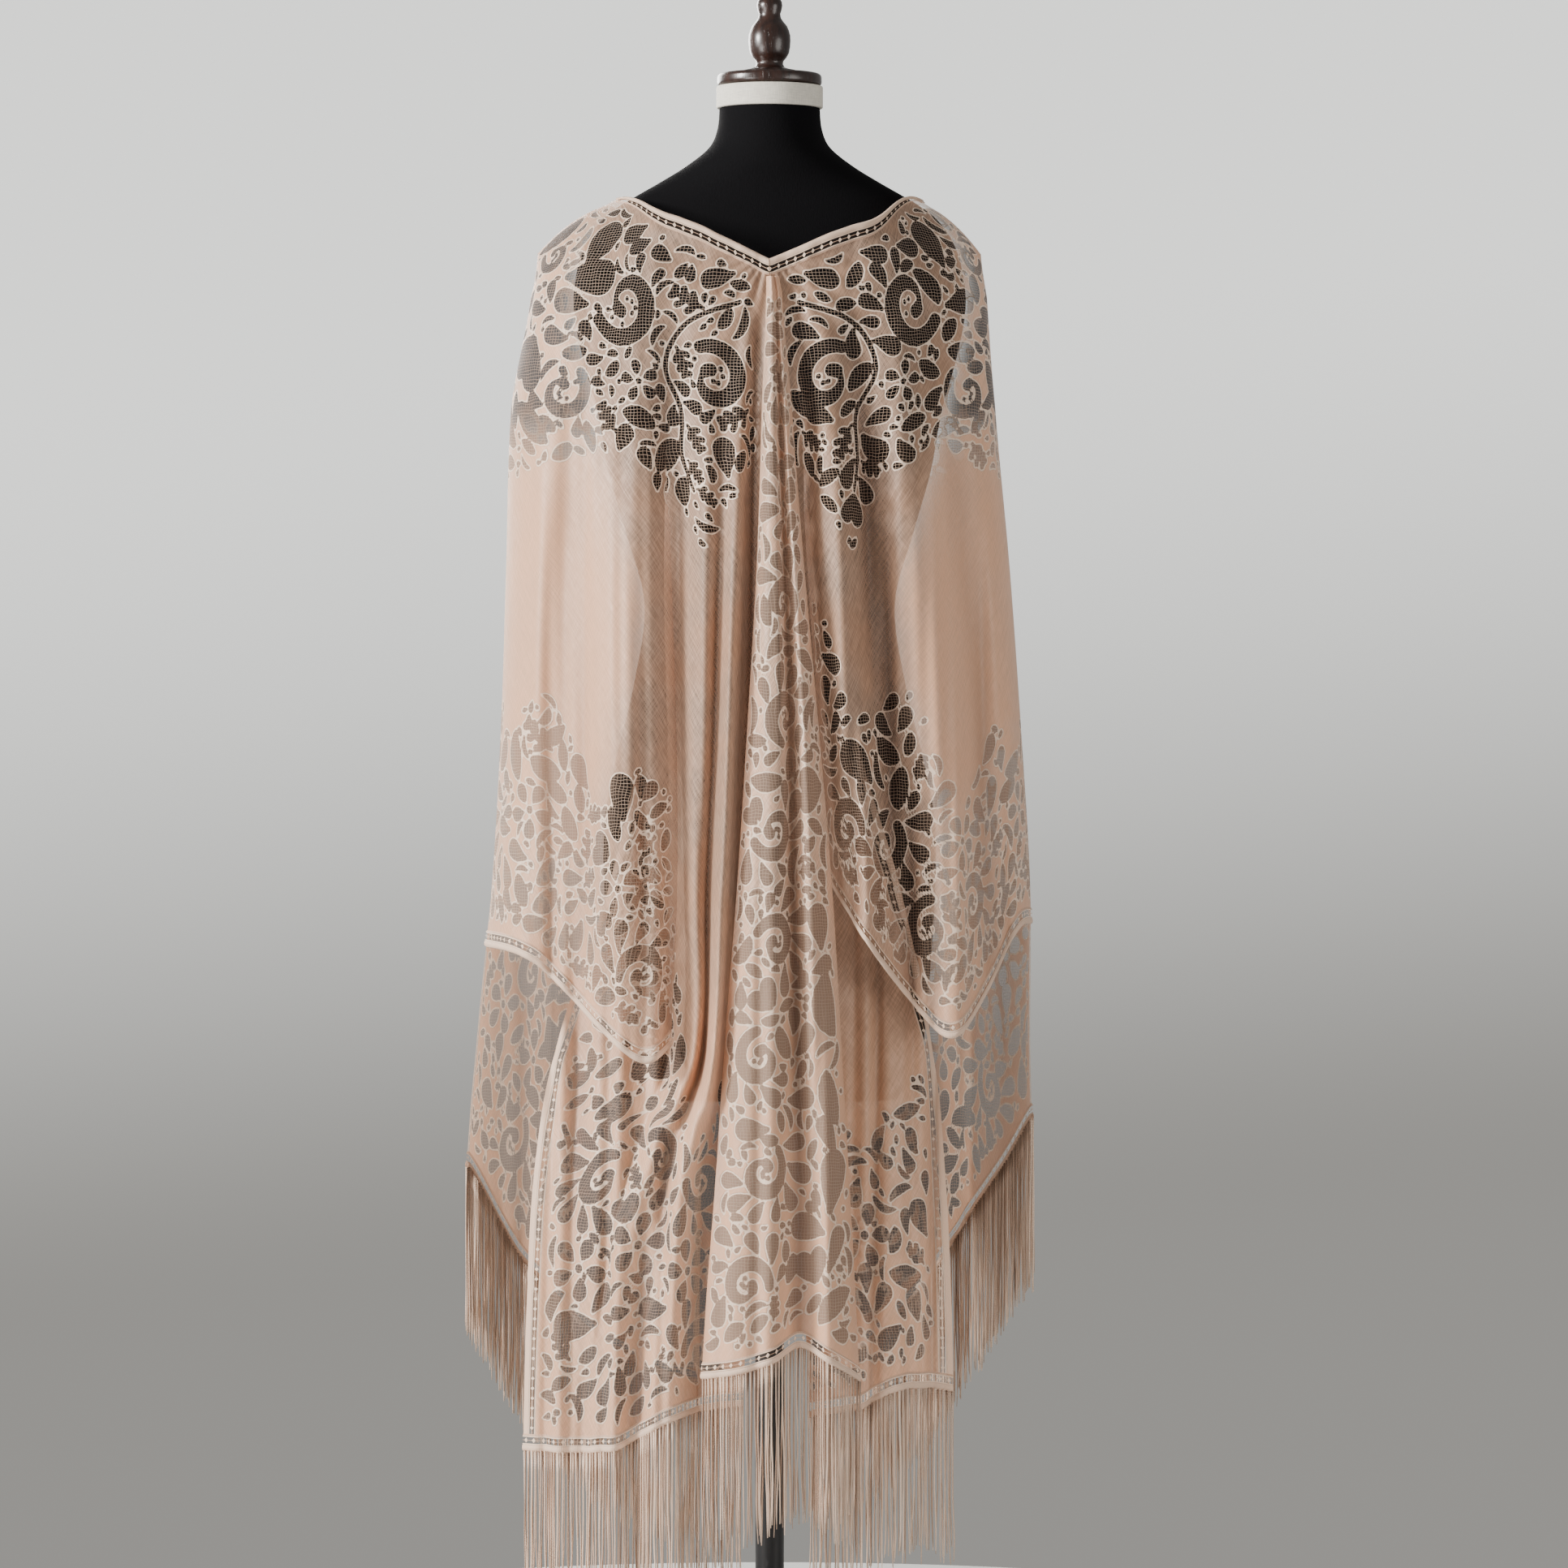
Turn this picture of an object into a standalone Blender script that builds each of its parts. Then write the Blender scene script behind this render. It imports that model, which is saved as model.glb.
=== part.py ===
"""A fringed lace shawl, worn open over a dress form and seen from behind.

Two lace panels hang over the shoulders and are tacked together at the point of a V on the
back. Below the point their inner edges fall together as a fringed cascade of two folds. Each
panel's outer edge hangs as a wide open sleeve, and its ends are fringed front and back.
X runs to the viewer's right, Y away from the viewer, Z up, and the floor is at Z = 0.
"""

import math
import random
from collections import namedtuple

import bmesh
import bpy
from mathutils import Vector
from mathutils.bvhtree import BVHTree

MM = 0.001

# Cloth, in millimetres
WALL = 1.4
SEAM_HALF_GAP = 0.45
BAND_WIDTH = 15.0
BAND_THICKNESS = 1.0
BAND_GAP = 0.5
NECKLINE_END = 146.0

# Fringe, in millimetres
FRINGE_LENGTH = 160.0
FRINGE_LENGTH_SPREAD = 0.07
FRINGE_STRIP_HEIGHT = 5.0
FRINGE_THICKNESS = 1.8
FRINGE_SWAY = 4.0
HEM_GAP = 0.4

# How the cloth bends over the shoulders and round the sides
SHOULDER_ROUNDING = 100.0
GIRTH_POWER = 2.4
SLIT_TOP = 1147.0
GUSSET_TOP = 900.0
YOKE_ROWS = 6
SLIT_ROWS = 4
SKIRT_ROWS = 7
SLEEVE_ROWS = 8
FRONT_ROWS = 11
CASCADE_ROWS = 13
COLUMNS_PER_FOLD = 3

# Dress form and stand, in millimetres
SEAT_GAP = 0.3
SEAT_SEARCH = 30.0
SEAT_STEP = 0.2
NECK_TOP = 1506.0
NECK_RADIUS = 52.0
COLLAR_HEIGHT = 12.0
POLE_RADIUS = 14.0
POLE_SOCKET_RADIUS = 26.0
POLE_SOCKET_HEIGHT = 40.0
BASE_RADIUS = 165.0
BASE_HEIGHT = 22.0
BASE_BEVEL = 5.0
FIT_GAP = 0.3

# Heights at which the folds are set out, and the widest half-girth of the hanging cloth there
LEVELS = (1300, 1193, 1037, 881, 725, 569, 452, 320, 187)
DEPTH_LEVELS = (1400, *LEVELS)
BACK_DEPTH = (96, 114, 131, 142, 148, 151, 153, 155, 158, 160)
FRONT_DEPTH = (76, 106, 130, 134, 132, 132, 134, 138, 142, 146)

# name, distance of its top from the centre line, height of its hem, and at each level its
# distance from the centre line and how far it stands out of the hanging cloth
Fold = namedtuple("Fold", "name top hem across proud")
Side = namedtuple("Side", "name sign girth ridge neckline front_neckline body sleeve gusset front")

LEFT = Side(
    name="left",
    sign=-1,
    girth=(233, 252, 257, 262, 271, 286, 295, 295, 295),
    ridge=((0, 1455), (76, 1450), (115, 1418), (150, 1394), (190, 1378), (226, 1345), (300, 1250)),
    neckline=((0, 1330), (61, 1361), (115, 1384), (143, 1393), (150, 1394)),
    front_neckline=((80, 1310), (100, 1322), (120, 1348), (140, 1378), (150, 1394)),
    body=(
        Fold("seam", 0.6, 232, (3, 5, 6, 8, 10, 14, 18, 22, 26), (0, -4, -12, -16, -18, -18, -16, -14, -12)),
        Fold("valley_1", 9, 228, (11, 15, 18, 22, 28, 36, 49, 56, 60), (-1, -10, -24, -30, -31, -30, -28, -24, -22)),
        Fold("ridge_a", 22, 217, (21, 26, 31, 37, 44, 52, 78, 92, 100), (0, 5, 12, 17, 18, 18, 18, 18, 16)),
        Fold("valley_2", 38, 200, (38, 43, 47, 52, 58, 63, 100, 118, 128), (0, -3, -8, -10, -12, -12, -4, -2, -4)),
        Fold("ridge_b", 58, 190, (57, 63, 65, 66, 68, 72, 120, 142, 151), (0, 3, 8, 9, 6, 0, 8, 8, 8)),
        Fold("slit", 84, 187, (88, 97, 101, 98, 94, 96, 136, 162, 171), (-2, -10, -27, -36, -38, -38, -12, -4, -4)),
    ),
    sleeve=(
        Fold("slit", 84, 575, (88, 97, 94, 89, 88, 94), (-2, -10, -12, -13, -11, -8)),
        Fold("ridge_c", 112, 562, (118, 128, 135, 138, 136, 126), (1, 6, 14, 20, 22, 22)),
        Fold("valley_d", 160, 634, (160, 178, 194, 200, 202, 204), (0, -3, -8, -12, -14, -14)),
        Fold("ridge_e", 194, 660, (198, 212, 223, 231, 236, 238), (0, 2, 4, 6, 8, 8)),
        Fold("outer", 226, 668, (233, 252, 257, 262, 271, 286), (0, 0, 0, 0, 0, 0)),
    ),
    gusset=(
        Fold("slit", 92, 187, (88, 97, 101, 98, 94, 96, 136, 162, 171), (-2, -10, -27, -36, -38, -38, -12, -4, -4)),
        Fold("fold_1", 101, 187, (101, 101, 101, 102, 110, 132, 170, 190, 197), (-36, -36, -36, -36, -38, -37, -8, 2, 4)),
        Fold("fold_2", 110, 187, (110, 110, 110, 112, 134, 172, 202, 214, 218), (-38, -38, -38, -38, -40, -36, -16, -8, -8)),
        Fold("edge", 118, 187, (118, 118, 118, 122, 155, 206, 226, 233, 236), (-38, -38, -38, -38, -40, -36, -14, -6, -4)),
    ),
    front=(
        Fold("outer", 226, 452, (233, 252, 257, 262, 271, 286, 295, 295, 295), (0, 0, 0, 0, 0, 0, 0, 0, 0)),
        Fold("valley_1", 190, 372, (196, 212, 226, 236, 244, 250, 254, 254, 254), (0, -4, -8, -12, -14, -14, -14, -14, -14)),
        Fold("ridge_1", 165, 318, (165, 178, 190, 198, 206, 212, 216, 216, 216), (0, 4, 10, 14, 16, 16, 16, 16, 16)),
        Fold("valley_2", 142, 280, (135, 146, 156, 162, 168, 174, 178, 178, 178), (0, -3, -6, -8, -10, -10, -10, -10, -10)),
        Fold("ridge_2", 122, 255, (118, 120, 124, 128, 134, 140, 144, 144, 144), (0, 3, 8, 12, 14, 14, 14, 14, 14)),
        Fold("valley_3", 102, 238, (100, 96, 92, 94, 98, 104, 108, 108, 108), (0, -2, -4, -5, -7, -8, -8, -8, -8)),
        Fold("edge", 84, 226, (84, 74, 66, 64, 64, 66, 68, 70, 70), (0, 0, 2, 4, 4, 4, 4, 4, 4)),
    ),
)

RIGHT = Side(
    name="right",
    sign=1,
    girth=(212, 220, 234, 245, 254, 254, 257, 258, 258),
    ridge=((0, 1455), (76, 1450), (115, 1416), (150, 1392), (184, 1372), (206, 1342), (300, 1220)),
    neckline=((0, 1330), (48, 1351), (103, 1373), (138, 1390), (150, 1392)),
    front_neckline=((80, 1310), (100, 1322), (120, 1348), (140, 1378), (150, 1392)),
    body=(
        Fold("seam", 0.6, 222, (3, 6, 8, 12, 16, 22, 28, 34, 40), (0, -4, -12, -16, -18, -18, -16, -14, -12)),
        Fold("mid", 8, 225, (10, 15, 22, 30, 38, 46, 52, 58, 63), (-1, -9, -20, -27, -29, -28, -24, -20, -18)),
        Fold("slit", 16, 228, (20, 28, 42, 55, 67, 75, 80, 85, 89), (-2, -12, -29, -36, -38, -34, -28, -20, -18)),
    ),
    sleeve=(
        Fold("slit", 16, 733, (20, 28, 36, 47, 58, 67), (-2, -12, -15, -16, -16, -14)),
        Fold("ridge_a", 42, 668, (46, 56, 69, 83, 94, 100), (1, 6, 14, 19, 21, 22)),
        Fold("valley_b", 76, 622, (80, 92, 107, 119, 127, 133), (-1, -6, -12, -15, -16, -16)),
        Fold("ridge_c", 108, 583, (114, 131, 149, 163, 170, 173), (1, 6, 14, 20, 22, 22)),
        Fold("valley_d", 152, 626, (154, 172, 188, 200, 207, 210), (0, -3, -8, -11, -12, -12)),
        Fold("ridge_e", 184, 684, (186, 199, 213, 227, 237, 242), (0, 2, 4, 6, 8, 8)),
        Fold("outer", 206, 690, (212, 220, 234, 245, 254, 254), (0, 0, 0, 0, 0, 0)),
    ),
    gusset=(
        Fold("slit", 51, 228, (20, 28, 42, 55, 67, 75, 80, 85, 89), (-2, -12, -29, -36, -38, -34, -28, -20, -18)),
        Fold("fold_1", 60, 246, (60, 60, 60, 61, 84, 104, 114, 119, 121), (-36, -36, -36, -37, -40, -36, -22, -12, -10)),
        Fold("fold_2", 70, 247, (70, 70, 70, 72, 106, 134, 144, 149, 151), (-38, -38, -38, -39, -44, -42, -32, -24, -22)),
        Fold("edge", 80, 243, (80, 80, 80, 83, 126, 157, 169, 175, 177), (-40, -40, -40, -41, -46, -44, -36, -30, -28)),
    ),
    front=(
        Fold("outer", 206, 499, (212, 220, 234, 245, 254, 254, 257, 258, 258), (0, 0, 0, 0, 0, 0, 0, 0, 0)),
        Fold("valley_1", 184, 455, (188, 200, 212, 222, 229, 231, 233, 233, 233), (0, -4, -8, -12, -14, -14, -14, -14, -14)),
        Fold("ridge_1", 162, 400, (162, 170, 180, 188, 194, 198, 200, 200, 200), (0, 4, 10, 14, 16, 16, 16, 16, 16)),
        Fold("valley_2", 142, 350, (135, 144, 152, 158, 162, 166, 168, 168, 168), (0, -3, -6, -8, -10, -10, -10, -10, -10)),
        Fold("ridge_2", 122, 305, (116, 118, 120, 124, 130, 134, 136, 136, 136), (0, 3, 8, 12, 14, 14, 14, 14, 14)),
        Fold("valley_3", 102, 270, (100, 94, 90, 90, 94, 98, 100, 100, 100), (0, -2, -4, -5, -7, -8, -8, -8, -8)),
        Fold("edge", 84, 245, (84, 72, 64, 60, 58, 58, 58, 58, 58), (0, 0, 2, 4, 4, 4, 4, 4, 4)),
    ),
)

# The cascade's folds lie across the centre line, so their distances carry a sign
CASCADE_TOP = 1313
CASCADE = (
    Fold("edge_left", -3, 260, (-3, -7, -12, -21, -31, -43, -51, -61, -67), (2.0, 6, 8, 9, 9, 9, 9, 9, 9)),
    Fold("ridge_left", -1, 266, (-1, -2, -3, -6, -11, -17, -22, -28, -32), (6, 20, 27, 32, 34, 35, 35, 35, 35)),
    Fold("flat_left", 2, 276, (3, 5, 8, 9, 7, 6, 5, 3, 1), (8, 22, 28, 32, 34, 35, 35, 35, 35)),
    Fold("valley", 4, 290, (6, 10, 15, 20, 22, 26, 28, 29, 29), (4.5, 9, 10, 11, 11, 11, 11, 11, 11)),
    Fold("ridge_right", 6, 276, (9, 15, 24, 33, 41, 47, 52, 56, 59), (6, 18, 24, 28, 30, 31, 31, 31, 31)),
    Fold("edge_right", 9, 257, (12, 21, 33, 47, 60, 69, 76, 83, 88), (2.0, 5, 6, 7, 7, 7, 7, 7, 7)),
)

# Height, half width, half depth and the centre's place in depth, from the neck down
FORM_SECTIONS = (
    (1484, 52, 52, 0),
    (1464, 54, 53, 0),
    (1446, 62, 57, 0),
    (1428, 84, 60, 0),
    (1412, 110, 58, 0),
    (1400, 131, 57, 0),
    (1388, 151, 58, 0),
    (1374, 168, 61, 0),
    (1355, 181, 67, -1),
    (1330, 190, 76, -2),
    (1290, 194, 88, -4),
    (1240, 185, 101, -3),
    (1190, 171, 108, 0),
    (1130, 160, 115, 6),
    (1070, 143, 107, 6),
    (1000, 125, 96, 2),
    (920, 136, 101, 0),
    (840, 155, 108, -2),
    (770, 165, 110, -3),
    (650, 160, 106, 0),
    (520, 148, 98, 0),
)
FORM_SIDES = 36

# Radius and height above the neck cap, from the top of the turned finial down
FINIAL_PROFILE = (
    (0.0, 100.0),
    (6.0, 97.0),
    (9.0, 88.0),
    (6.5, 79.0),
    (10.0, 73.0),
    (12.5, 66.0),
    (10.5, 58.0),
    (14.0, 50.0),
    (19.0, 42.0),
    (20.5, 32.0),
    (19.0, 20.0),
    (13.5, 12.0),
    (15.0, 6.0),
    (26.0, 3.0),
    (28.0, 0.0),
    (0.0, 0.0),
)

FRINGE_COUNTS = {"cascade": 30, "back_left": 38, "back_right": 24, "front_left": 34, "front_right": 28}

COLOURS = {
    "lace": (0.80, 0.66, 0.57),
    "trim": (0.86, 0.75, 0.66),
    "form_cover": (0.018, 0.017, 0.019),
    "neck_cover": (0.78, 0.74, 0.66),
    "dark_wood": (0.045, 0.022, 0.014),
    "stand_metal": (0.03, 0.03, 0.032),
}
ROUGHNESS = {"lace": 0.7, "trim": 0.6, "form_cover": 0.95, "neck_cover": 0.9, "dark_wood": 0.35, "stand_metal": 0.4}
METALLIC = {"stand_metal": 0.8}


def spline(values, t):
    """The value at t, counted in steps, on a smooth curve through values."""
    i = min(int(t), len(values) - 2)
    f = t - i
    a, b, c, d = (values[max(0, min(len(values) - 1, k))] for k in range(i - 1, i + 3))
    return b + 0.5 * f * (c - a + f * (2 * a - 5 * b + 4 * c - d + f * (3 * (b - c) + d - a)))


def at_height(levels, values, z):
    """A smooth curve through values set out at falling levels, held level beyond the ends."""
    values = [*values, *[values[-1]] * (len(levels) - len(values))]
    if z >= levels[0]:
        return values[0]
    if z <= levels[-1]:
        return values[-1]
    i = next(k for k in range(len(levels) - 1) if z > levels[k + 1])
    return spline(values, i + (levels[i] - z) / (levels[i] - levels[i + 1]))


def straight(table, x):
    """Straight lines between the (x, value) rows of a table."""
    if x <= table[0][0]:
        return table[0][1]
    for (x0, v0), (x1, v1) in zip(table, table[1:]):
        if x <= x1:
            return v0 + (v1 - v0) * (x - x0) / (x1 - x0)
    return table[-1][1]


def hang_depth(side, x, z, fallen, depths):
    """How far behind or before the shoulder line the cloth hangs, at a distance x and a height z,
    when a length of cloth has fallen from the shoulder's ridge.
    """
    share = min(1.0, abs(x) / at_height(LEVELS, side.girth, z))
    around = (1 - share**GIRTH_POWER) ** (1 / GIRTH_POWER)
    over = math.sin(min(fallen / SHOULDER_ROUNDING, math.pi / 2))
    return at_height(DEPTH_LEVELS, depths, z) * around * over


def fall_length(drop):
    """Length of cloth that has passed over the shoulder when it has dropped so far below the ridge."""
    r = SHOULDER_ROUNDING
    if drop >= r:
        return r * math.pi / 2 + drop - r
    return r * math.acos(1 - max(0.0, drop) / r)


def fall_drop(length):
    """The drop below the ridge after a length of cloth. Undoes fall_length."""
    r = SHOULDER_ROUNDING
    if length >= r * math.pi / 2:
        return length - r * math.pi / 2 + r
    return r * (1 - math.cos(length / r))


def row_heights(start, hem, ridge, spans, top_band):
    """Heights of a fold's rows, even along the cloth, with a row at each band's inner edge.

    A span that ends at None ends at the hem's band.
    """
    heights = [start]
    if top_band:
        heights.append(ridge - fall_drop(fall_length(ridge - start) + BAND_WIDTH))
    for end, rows in spans:
        first = fall_length(ridge - heights[-1])
        last = fall_length(ridge - (hem + BAND_WIDTH if end is None else end))
        heights += [ridge - fall_drop(first + (last - first) * (k + 1) / rows) for k in range(rows)]
    return [*heights, hem]


def cloth_grid(folds, side, starts, spans, place, top_band=True):
    """Rows of points across the folds, evened out by the length of cloth that has fallen."""
    columns = []
    for fold, start in zip(folds, starts):
        ridge = straight(side.ridge, fold.top)
        levels = (max(start, LEVELS[0] + 1), *LEVELS)
        columns.append([
            (
                fold.top,
                fall_length(ridge - z),
                at_height(levels, (fold.top, *fold.across), z),
                at_height(LEVELS, fold.proud, z),
            )
            for z in row_heights(start, fold.hem, ridge, spans, top_band)
        ])
    steps = (len(folds) - 1) * COLUMNS_PER_FOLD
    grid = []
    for row in zip(*columns):
        line = []
        for k in range(steps + 1):
            top, fallen, x, proud = (spline([knot[n] for knot in row], k / COLUMNS_PER_FOLD) for n in range(4))
            z = straight(side.ridge, top) - fall_drop(max(0.0, fallen))
            line.append(place(x, z, proud, max(0.0, fallen)))
        grid.append(line)
    return grid


def back_place(side):
    def place(x, z, proud, fallen):
        depth = hang_depth(side, x, z, fallen, BACK_DEPTH)
        return Vector((side.sign * x, -depth - proud - SEAM_HALF_GAP, z))

    return place


def front_place(side):
    def place(x, z, proud, fallen):
        depth = hang_depth(side, x, z, fallen, FRONT_DEPTH)
        return Vector((side.sign * x, depth + proud + SEAM_HALF_GAP, z))

    return place


def cascade_place(x, z, proud, _fallen):
    return Vector((x, -at_height(DEPTH_LEVELS, BACK_DEPTH, z) - proud, z))


def side_grid(folds, side, neckline, spans, place):
    """A grid whose folds start at the neckline, or beyond its end on the shoulder's ridge."""
    starts = [straight(neckline if f.top < neckline[-1][0] else side.ridge, f.top) for f in folds]
    return cloth_grid(folds, side, starts, spans, place)


def back_grids(side):
    """The back panel's body, sleeve and gusset, which share the points of the slit between them."""
    place = back_place(side)
    spans = ((SLIT_TOP, YOKE_ROWS), (GUSSET_TOP, SLIT_ROWS), (None, SKIRT_ROWS))
    body = side_grid(side.body, side, side.neckline, spans, place)
    sleeve = side_grid(side.sleeve, side, side.neckline, ((SLIT_TOP, YOKE_ROWS), (None, SLEEVE_ROWS)), place)
    level = [GUSSET_TOP] * len(side.gusset)
    gusset = cloth_grid(side.gusset, side, level, ((None, SKIRT_ROWS),), place, top_band=False)
    for row in range(YOKE_ROWS + 2):
        sleeve[row][0] = body[row][-1]
    for row, points in enumerate(gusset):
        points[0] = body[YOKE_ROWS + SLIT_ROWS + 1 + row][-1]
    return body, sleeve, gusset


def front_grid(side):
    return side_grid(side.front, side, side.front_neckline, ((None, FRONT_ROWS),), front_place(side))


def cascade_grid():
    level = [CASCADE_TOP] * len(CASCADE)
    return cloth_grid(CASCADE, RIGHT, level, ((None, CASCADE_ROWS),), cascade_place)


def material(name):
    made = bpy.data.materials.new(name)
    made.use_nodes = True
    shader = made.node_tree.nodes["Principled BSDF"]
    shader.inputs["Base Color"].default_value = (*COLOURS[name], 1)
    shader.inputs["Roughness"].default_value = ROUGHNESS[name]
    shader.inputs["Metallic"].default_value = METALLIC.get(name, 0.0)
    return made


def new_object(name, mesh, surface):
    made = bpy.data.objects.new(name, mesh)
    mesh.materials.append(surface)
    PARTS.objects.link(made)
    return made


def mesh_of(name, shape, smooth=True):
    bmesh.ops.recalc_face_normals(shape, faces=shape.faces)
    mesh = bpy.data.meshes.new(name)
    shape.to_mesh(mesh)
    shape.free()
    if smooth:
        mesh.shade_smooth()
    return mesh


def add_grid(shape, grid):
    """Adds a grid of points, in millimetres, as quads."""
    rows = [[shape.verts.new(point * MM) for point in line] for line in grid]
    for upper, lower in zip(rows, rows[1:]):
        for a, b, c, d in zip(upper, upper[1:], lower[1:], lower):
            shape.faces.new((a, b, c, d))


def cloth(name, grids, surface, thickness=WALL):
    """An open surface through the grids, joined where they share points, given a wall by Solidify."""
    shape = bmesh.new()
    for grid in grids:
        add_grid(shape, grid)
    bmesh.ops.remove_doubles(shape, verts=shape.verts, dist=0.02 * MM)
    made = new_object(name, mesh_of(name, shape), surface)
    wall = made.modifiers.new("wall", "SOLIDIFY")
    wall.thickness = thickness * MM
    wall.offset = 0
    return made


def edge_band(name, edge, inner, outward, surface):
    """A trim that lies on a panel, between the panel's edge and the next row of its points."""
    lift = WALL / 2 + BAND_GAP + BAND_THICKNESS / 2
    faces = []
    for (a, b), (c, d) in zip(zip(edge, inner), zip(edge[1:], inner[1:])):
        faces.append((c + d - a - b).cross(b + d - a - c).normalized())
    lift *= 1 if sum(normal.y for normal in faces) * outward > 0 else -1
    lines = [[], []]
    for k, pair in enumerate(zip(edge, inner)):
        before, after = faces[max(k - 1, 0)], faces[min(k, len(faces) - 1)]
        normal = (before + after).normalized()
        for line, point in zip(lines, pair):
            line.append(point + normal * lift / max(0.5, normal.dot(before)))
    return cloth(name, [lines], surface, BAND_THICKNESS)


def walk(points, distance):
    """The point at a distance along a polyline."""
    for a, b in zip(points, points[1:]):
        length = (b - a).length
        if distance <= length:
            return a.lerp(b, distance / length)
        distance -= length
    return points[-1]


def spaced(points, count):
    """count + 1 points at even distances along a polyline."""
    total = sum((b - a).length for a, b in zip(points, points[1:]))
    return [walk(points, total * k / count) for k in range(count)] + [points[-1]]


def fringe(name, hem, count, surface, seed):
    """A narrow strip below a hem, with strands hanging from it, as one body."""
    rng = random.Random(seed)
    line = spaced(hem, 2 * count - 1)
    down = Vector((0, 0, -1))
    shape = bmesh.new()
    rings = []
    for k, point in enumerate(line):
        run = line[min(k + 1, len(line) - 1)] - line[max(k - 1, 0)]
        level = Vector((run.x, run.y, 0)).normalized()
        across = level.cross(down) * FRINGE_THICKNESS / 2
        top = point + down * (HEM_GAP + WALL / 2)
        foot = top + down * FRINGE_STRIP_HEIGHT
        corners = (top + across, top - across, foot - across, foot + across)
        rings.append([shape.verts.new(corner * MM) for corner in corners])
    shape.faces.new(rings[0])
    shape.faces.new(rings[-1])
    for k, (one, two) in enumerate(zip(rings, rings[1:])):
        for side in (0, 1, 3):
            shape.faces.new((one[side], one[(side + 1) % 4], two[(side + 1) % 4], two[side]))
        root = (one[2], one[3], two[3], two[2])
        if k % 2:
            shape.faces.new(root)
            continue
        length = FRINGE_LENGTH * (1 + FRINGE_LENGTH_SPREAD * (2 * rng.random() - 1))
        sway = FRINGE_SWAY * math.sin(k * 0.21 + seed)
        middle = sum((v.co for v in root), Vector()) / 4
        last = root
        for share, narrowing in ((0.55, 0.62), (1.0, 0.42)):
            drop = down * length * share * MM
            drop.y += sway * share * share * MM
            ring = [shape.verts.new(middle + (v.co - middle) * narrowing + drop) for v in root]
            for n in range(4):
                shape.faces.new((last[n], last[(n + 1) % 4], ring[(n + 1) % 4], ring[n]))
            last = ring
        shape.faces.new(last)
    return new_object(name, mesh_of(name, shape, smooth=False), surface)


def turned(name, profile, base, surface):
    """A solid of revolution round the vertical axis, from a profile that runs from top to bottom."""
    mesh = bpy.data.meshes.new(name)
    points = [(radius * MM, 0, (base + height) * MM) for radius, height in profile]
    mesh.from_pydata(points, [(k, k + 1) for k in range(len(points) - 1)], [])
    made = new_object(name, mesh, surface)
    screw = made.modifiers.new("turn", "SCREW")
    screw.axis = "Z"
    screw.steps = screw.render_steps = 24
    screw.use_merge_vertices = True
    screw.merge_threshold = 0.00005
    return made


def drum(name, radius, low, high, surface, segments=32):
    """A plain upright cylinder between two heights."""
    bpy.ops.mesh.primitive_cylinder_add(
        vertices=segments, radius=radius * MM, depth=(high - low) * MM, location=(0, 0, (low + high) / 2 * MM)
    )
    made = bpy.context.object
    made.name = made.data.name = name
    for holder in list(made.users_collection):
        holder.objects.unlink(made)
    made.data.materials.append(surface)
    PARTS.objects.link(made)
    return made


def torso(lift, surface):
    """The form's body, a loft through elliptical sections, closed at the neck and at the hips."""
    shape = bmesh.new()
    rings = []
    for height, half_width, half_depth, centre in FORM_SECTIONS:
        ring = []
        for k in range(FORM_SIDES):
            angle = 2 * math.pi * k / FORM_SIDES
            x, y = half_width * math.cos(angle), centre + half_depth * math.sin(angle)
            ring.append(shape.verts.new(Vector((x, y, height + lift)) * MM))
        rings.append(ring)
    for upper, lower in zip(rings, rings[1:]):
        for k in range(FORM_SIDES):
            n = (k + 1) % FORM_SIDES
            shape.faces.new((upper[k], lower[k], lower[n], upper[n]))
    shape.faces.new(rings[0])
    shape.faces.new(rings[-1])
    return mesh_of("torso", shape), surface


def tree_of(mesh, shift=0.0):
    mesh.calc_loop_triangles()
    lift = Vector((0, 0, shift * MM))
    faces = [tuple(t.vertices) for t in mesh.loop_triangles]
    return BVHTree.FromPolygons([v.co + lift for v in mesh.vertices], faces)


def seat_lift(torso_mesh, cloths):
    """How far the form rises, in millimetres, until its shoulders are SEAT_GAP below the cloth."""
    bpy.context.view_layer.update()
    graph = bpy.context.evaluated_depsgraph_get()
    trees = [tree_of(made.evaluated_get(graph).to_mesh()) for made in cloths]
    lift = SEAT_SEARCH
    while any(tree.overlap(tree_of(torso_mesh, lift)) for tree in trees):
        lift -= SEAT_STEP
    return lift - SEAT_GAP


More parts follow.
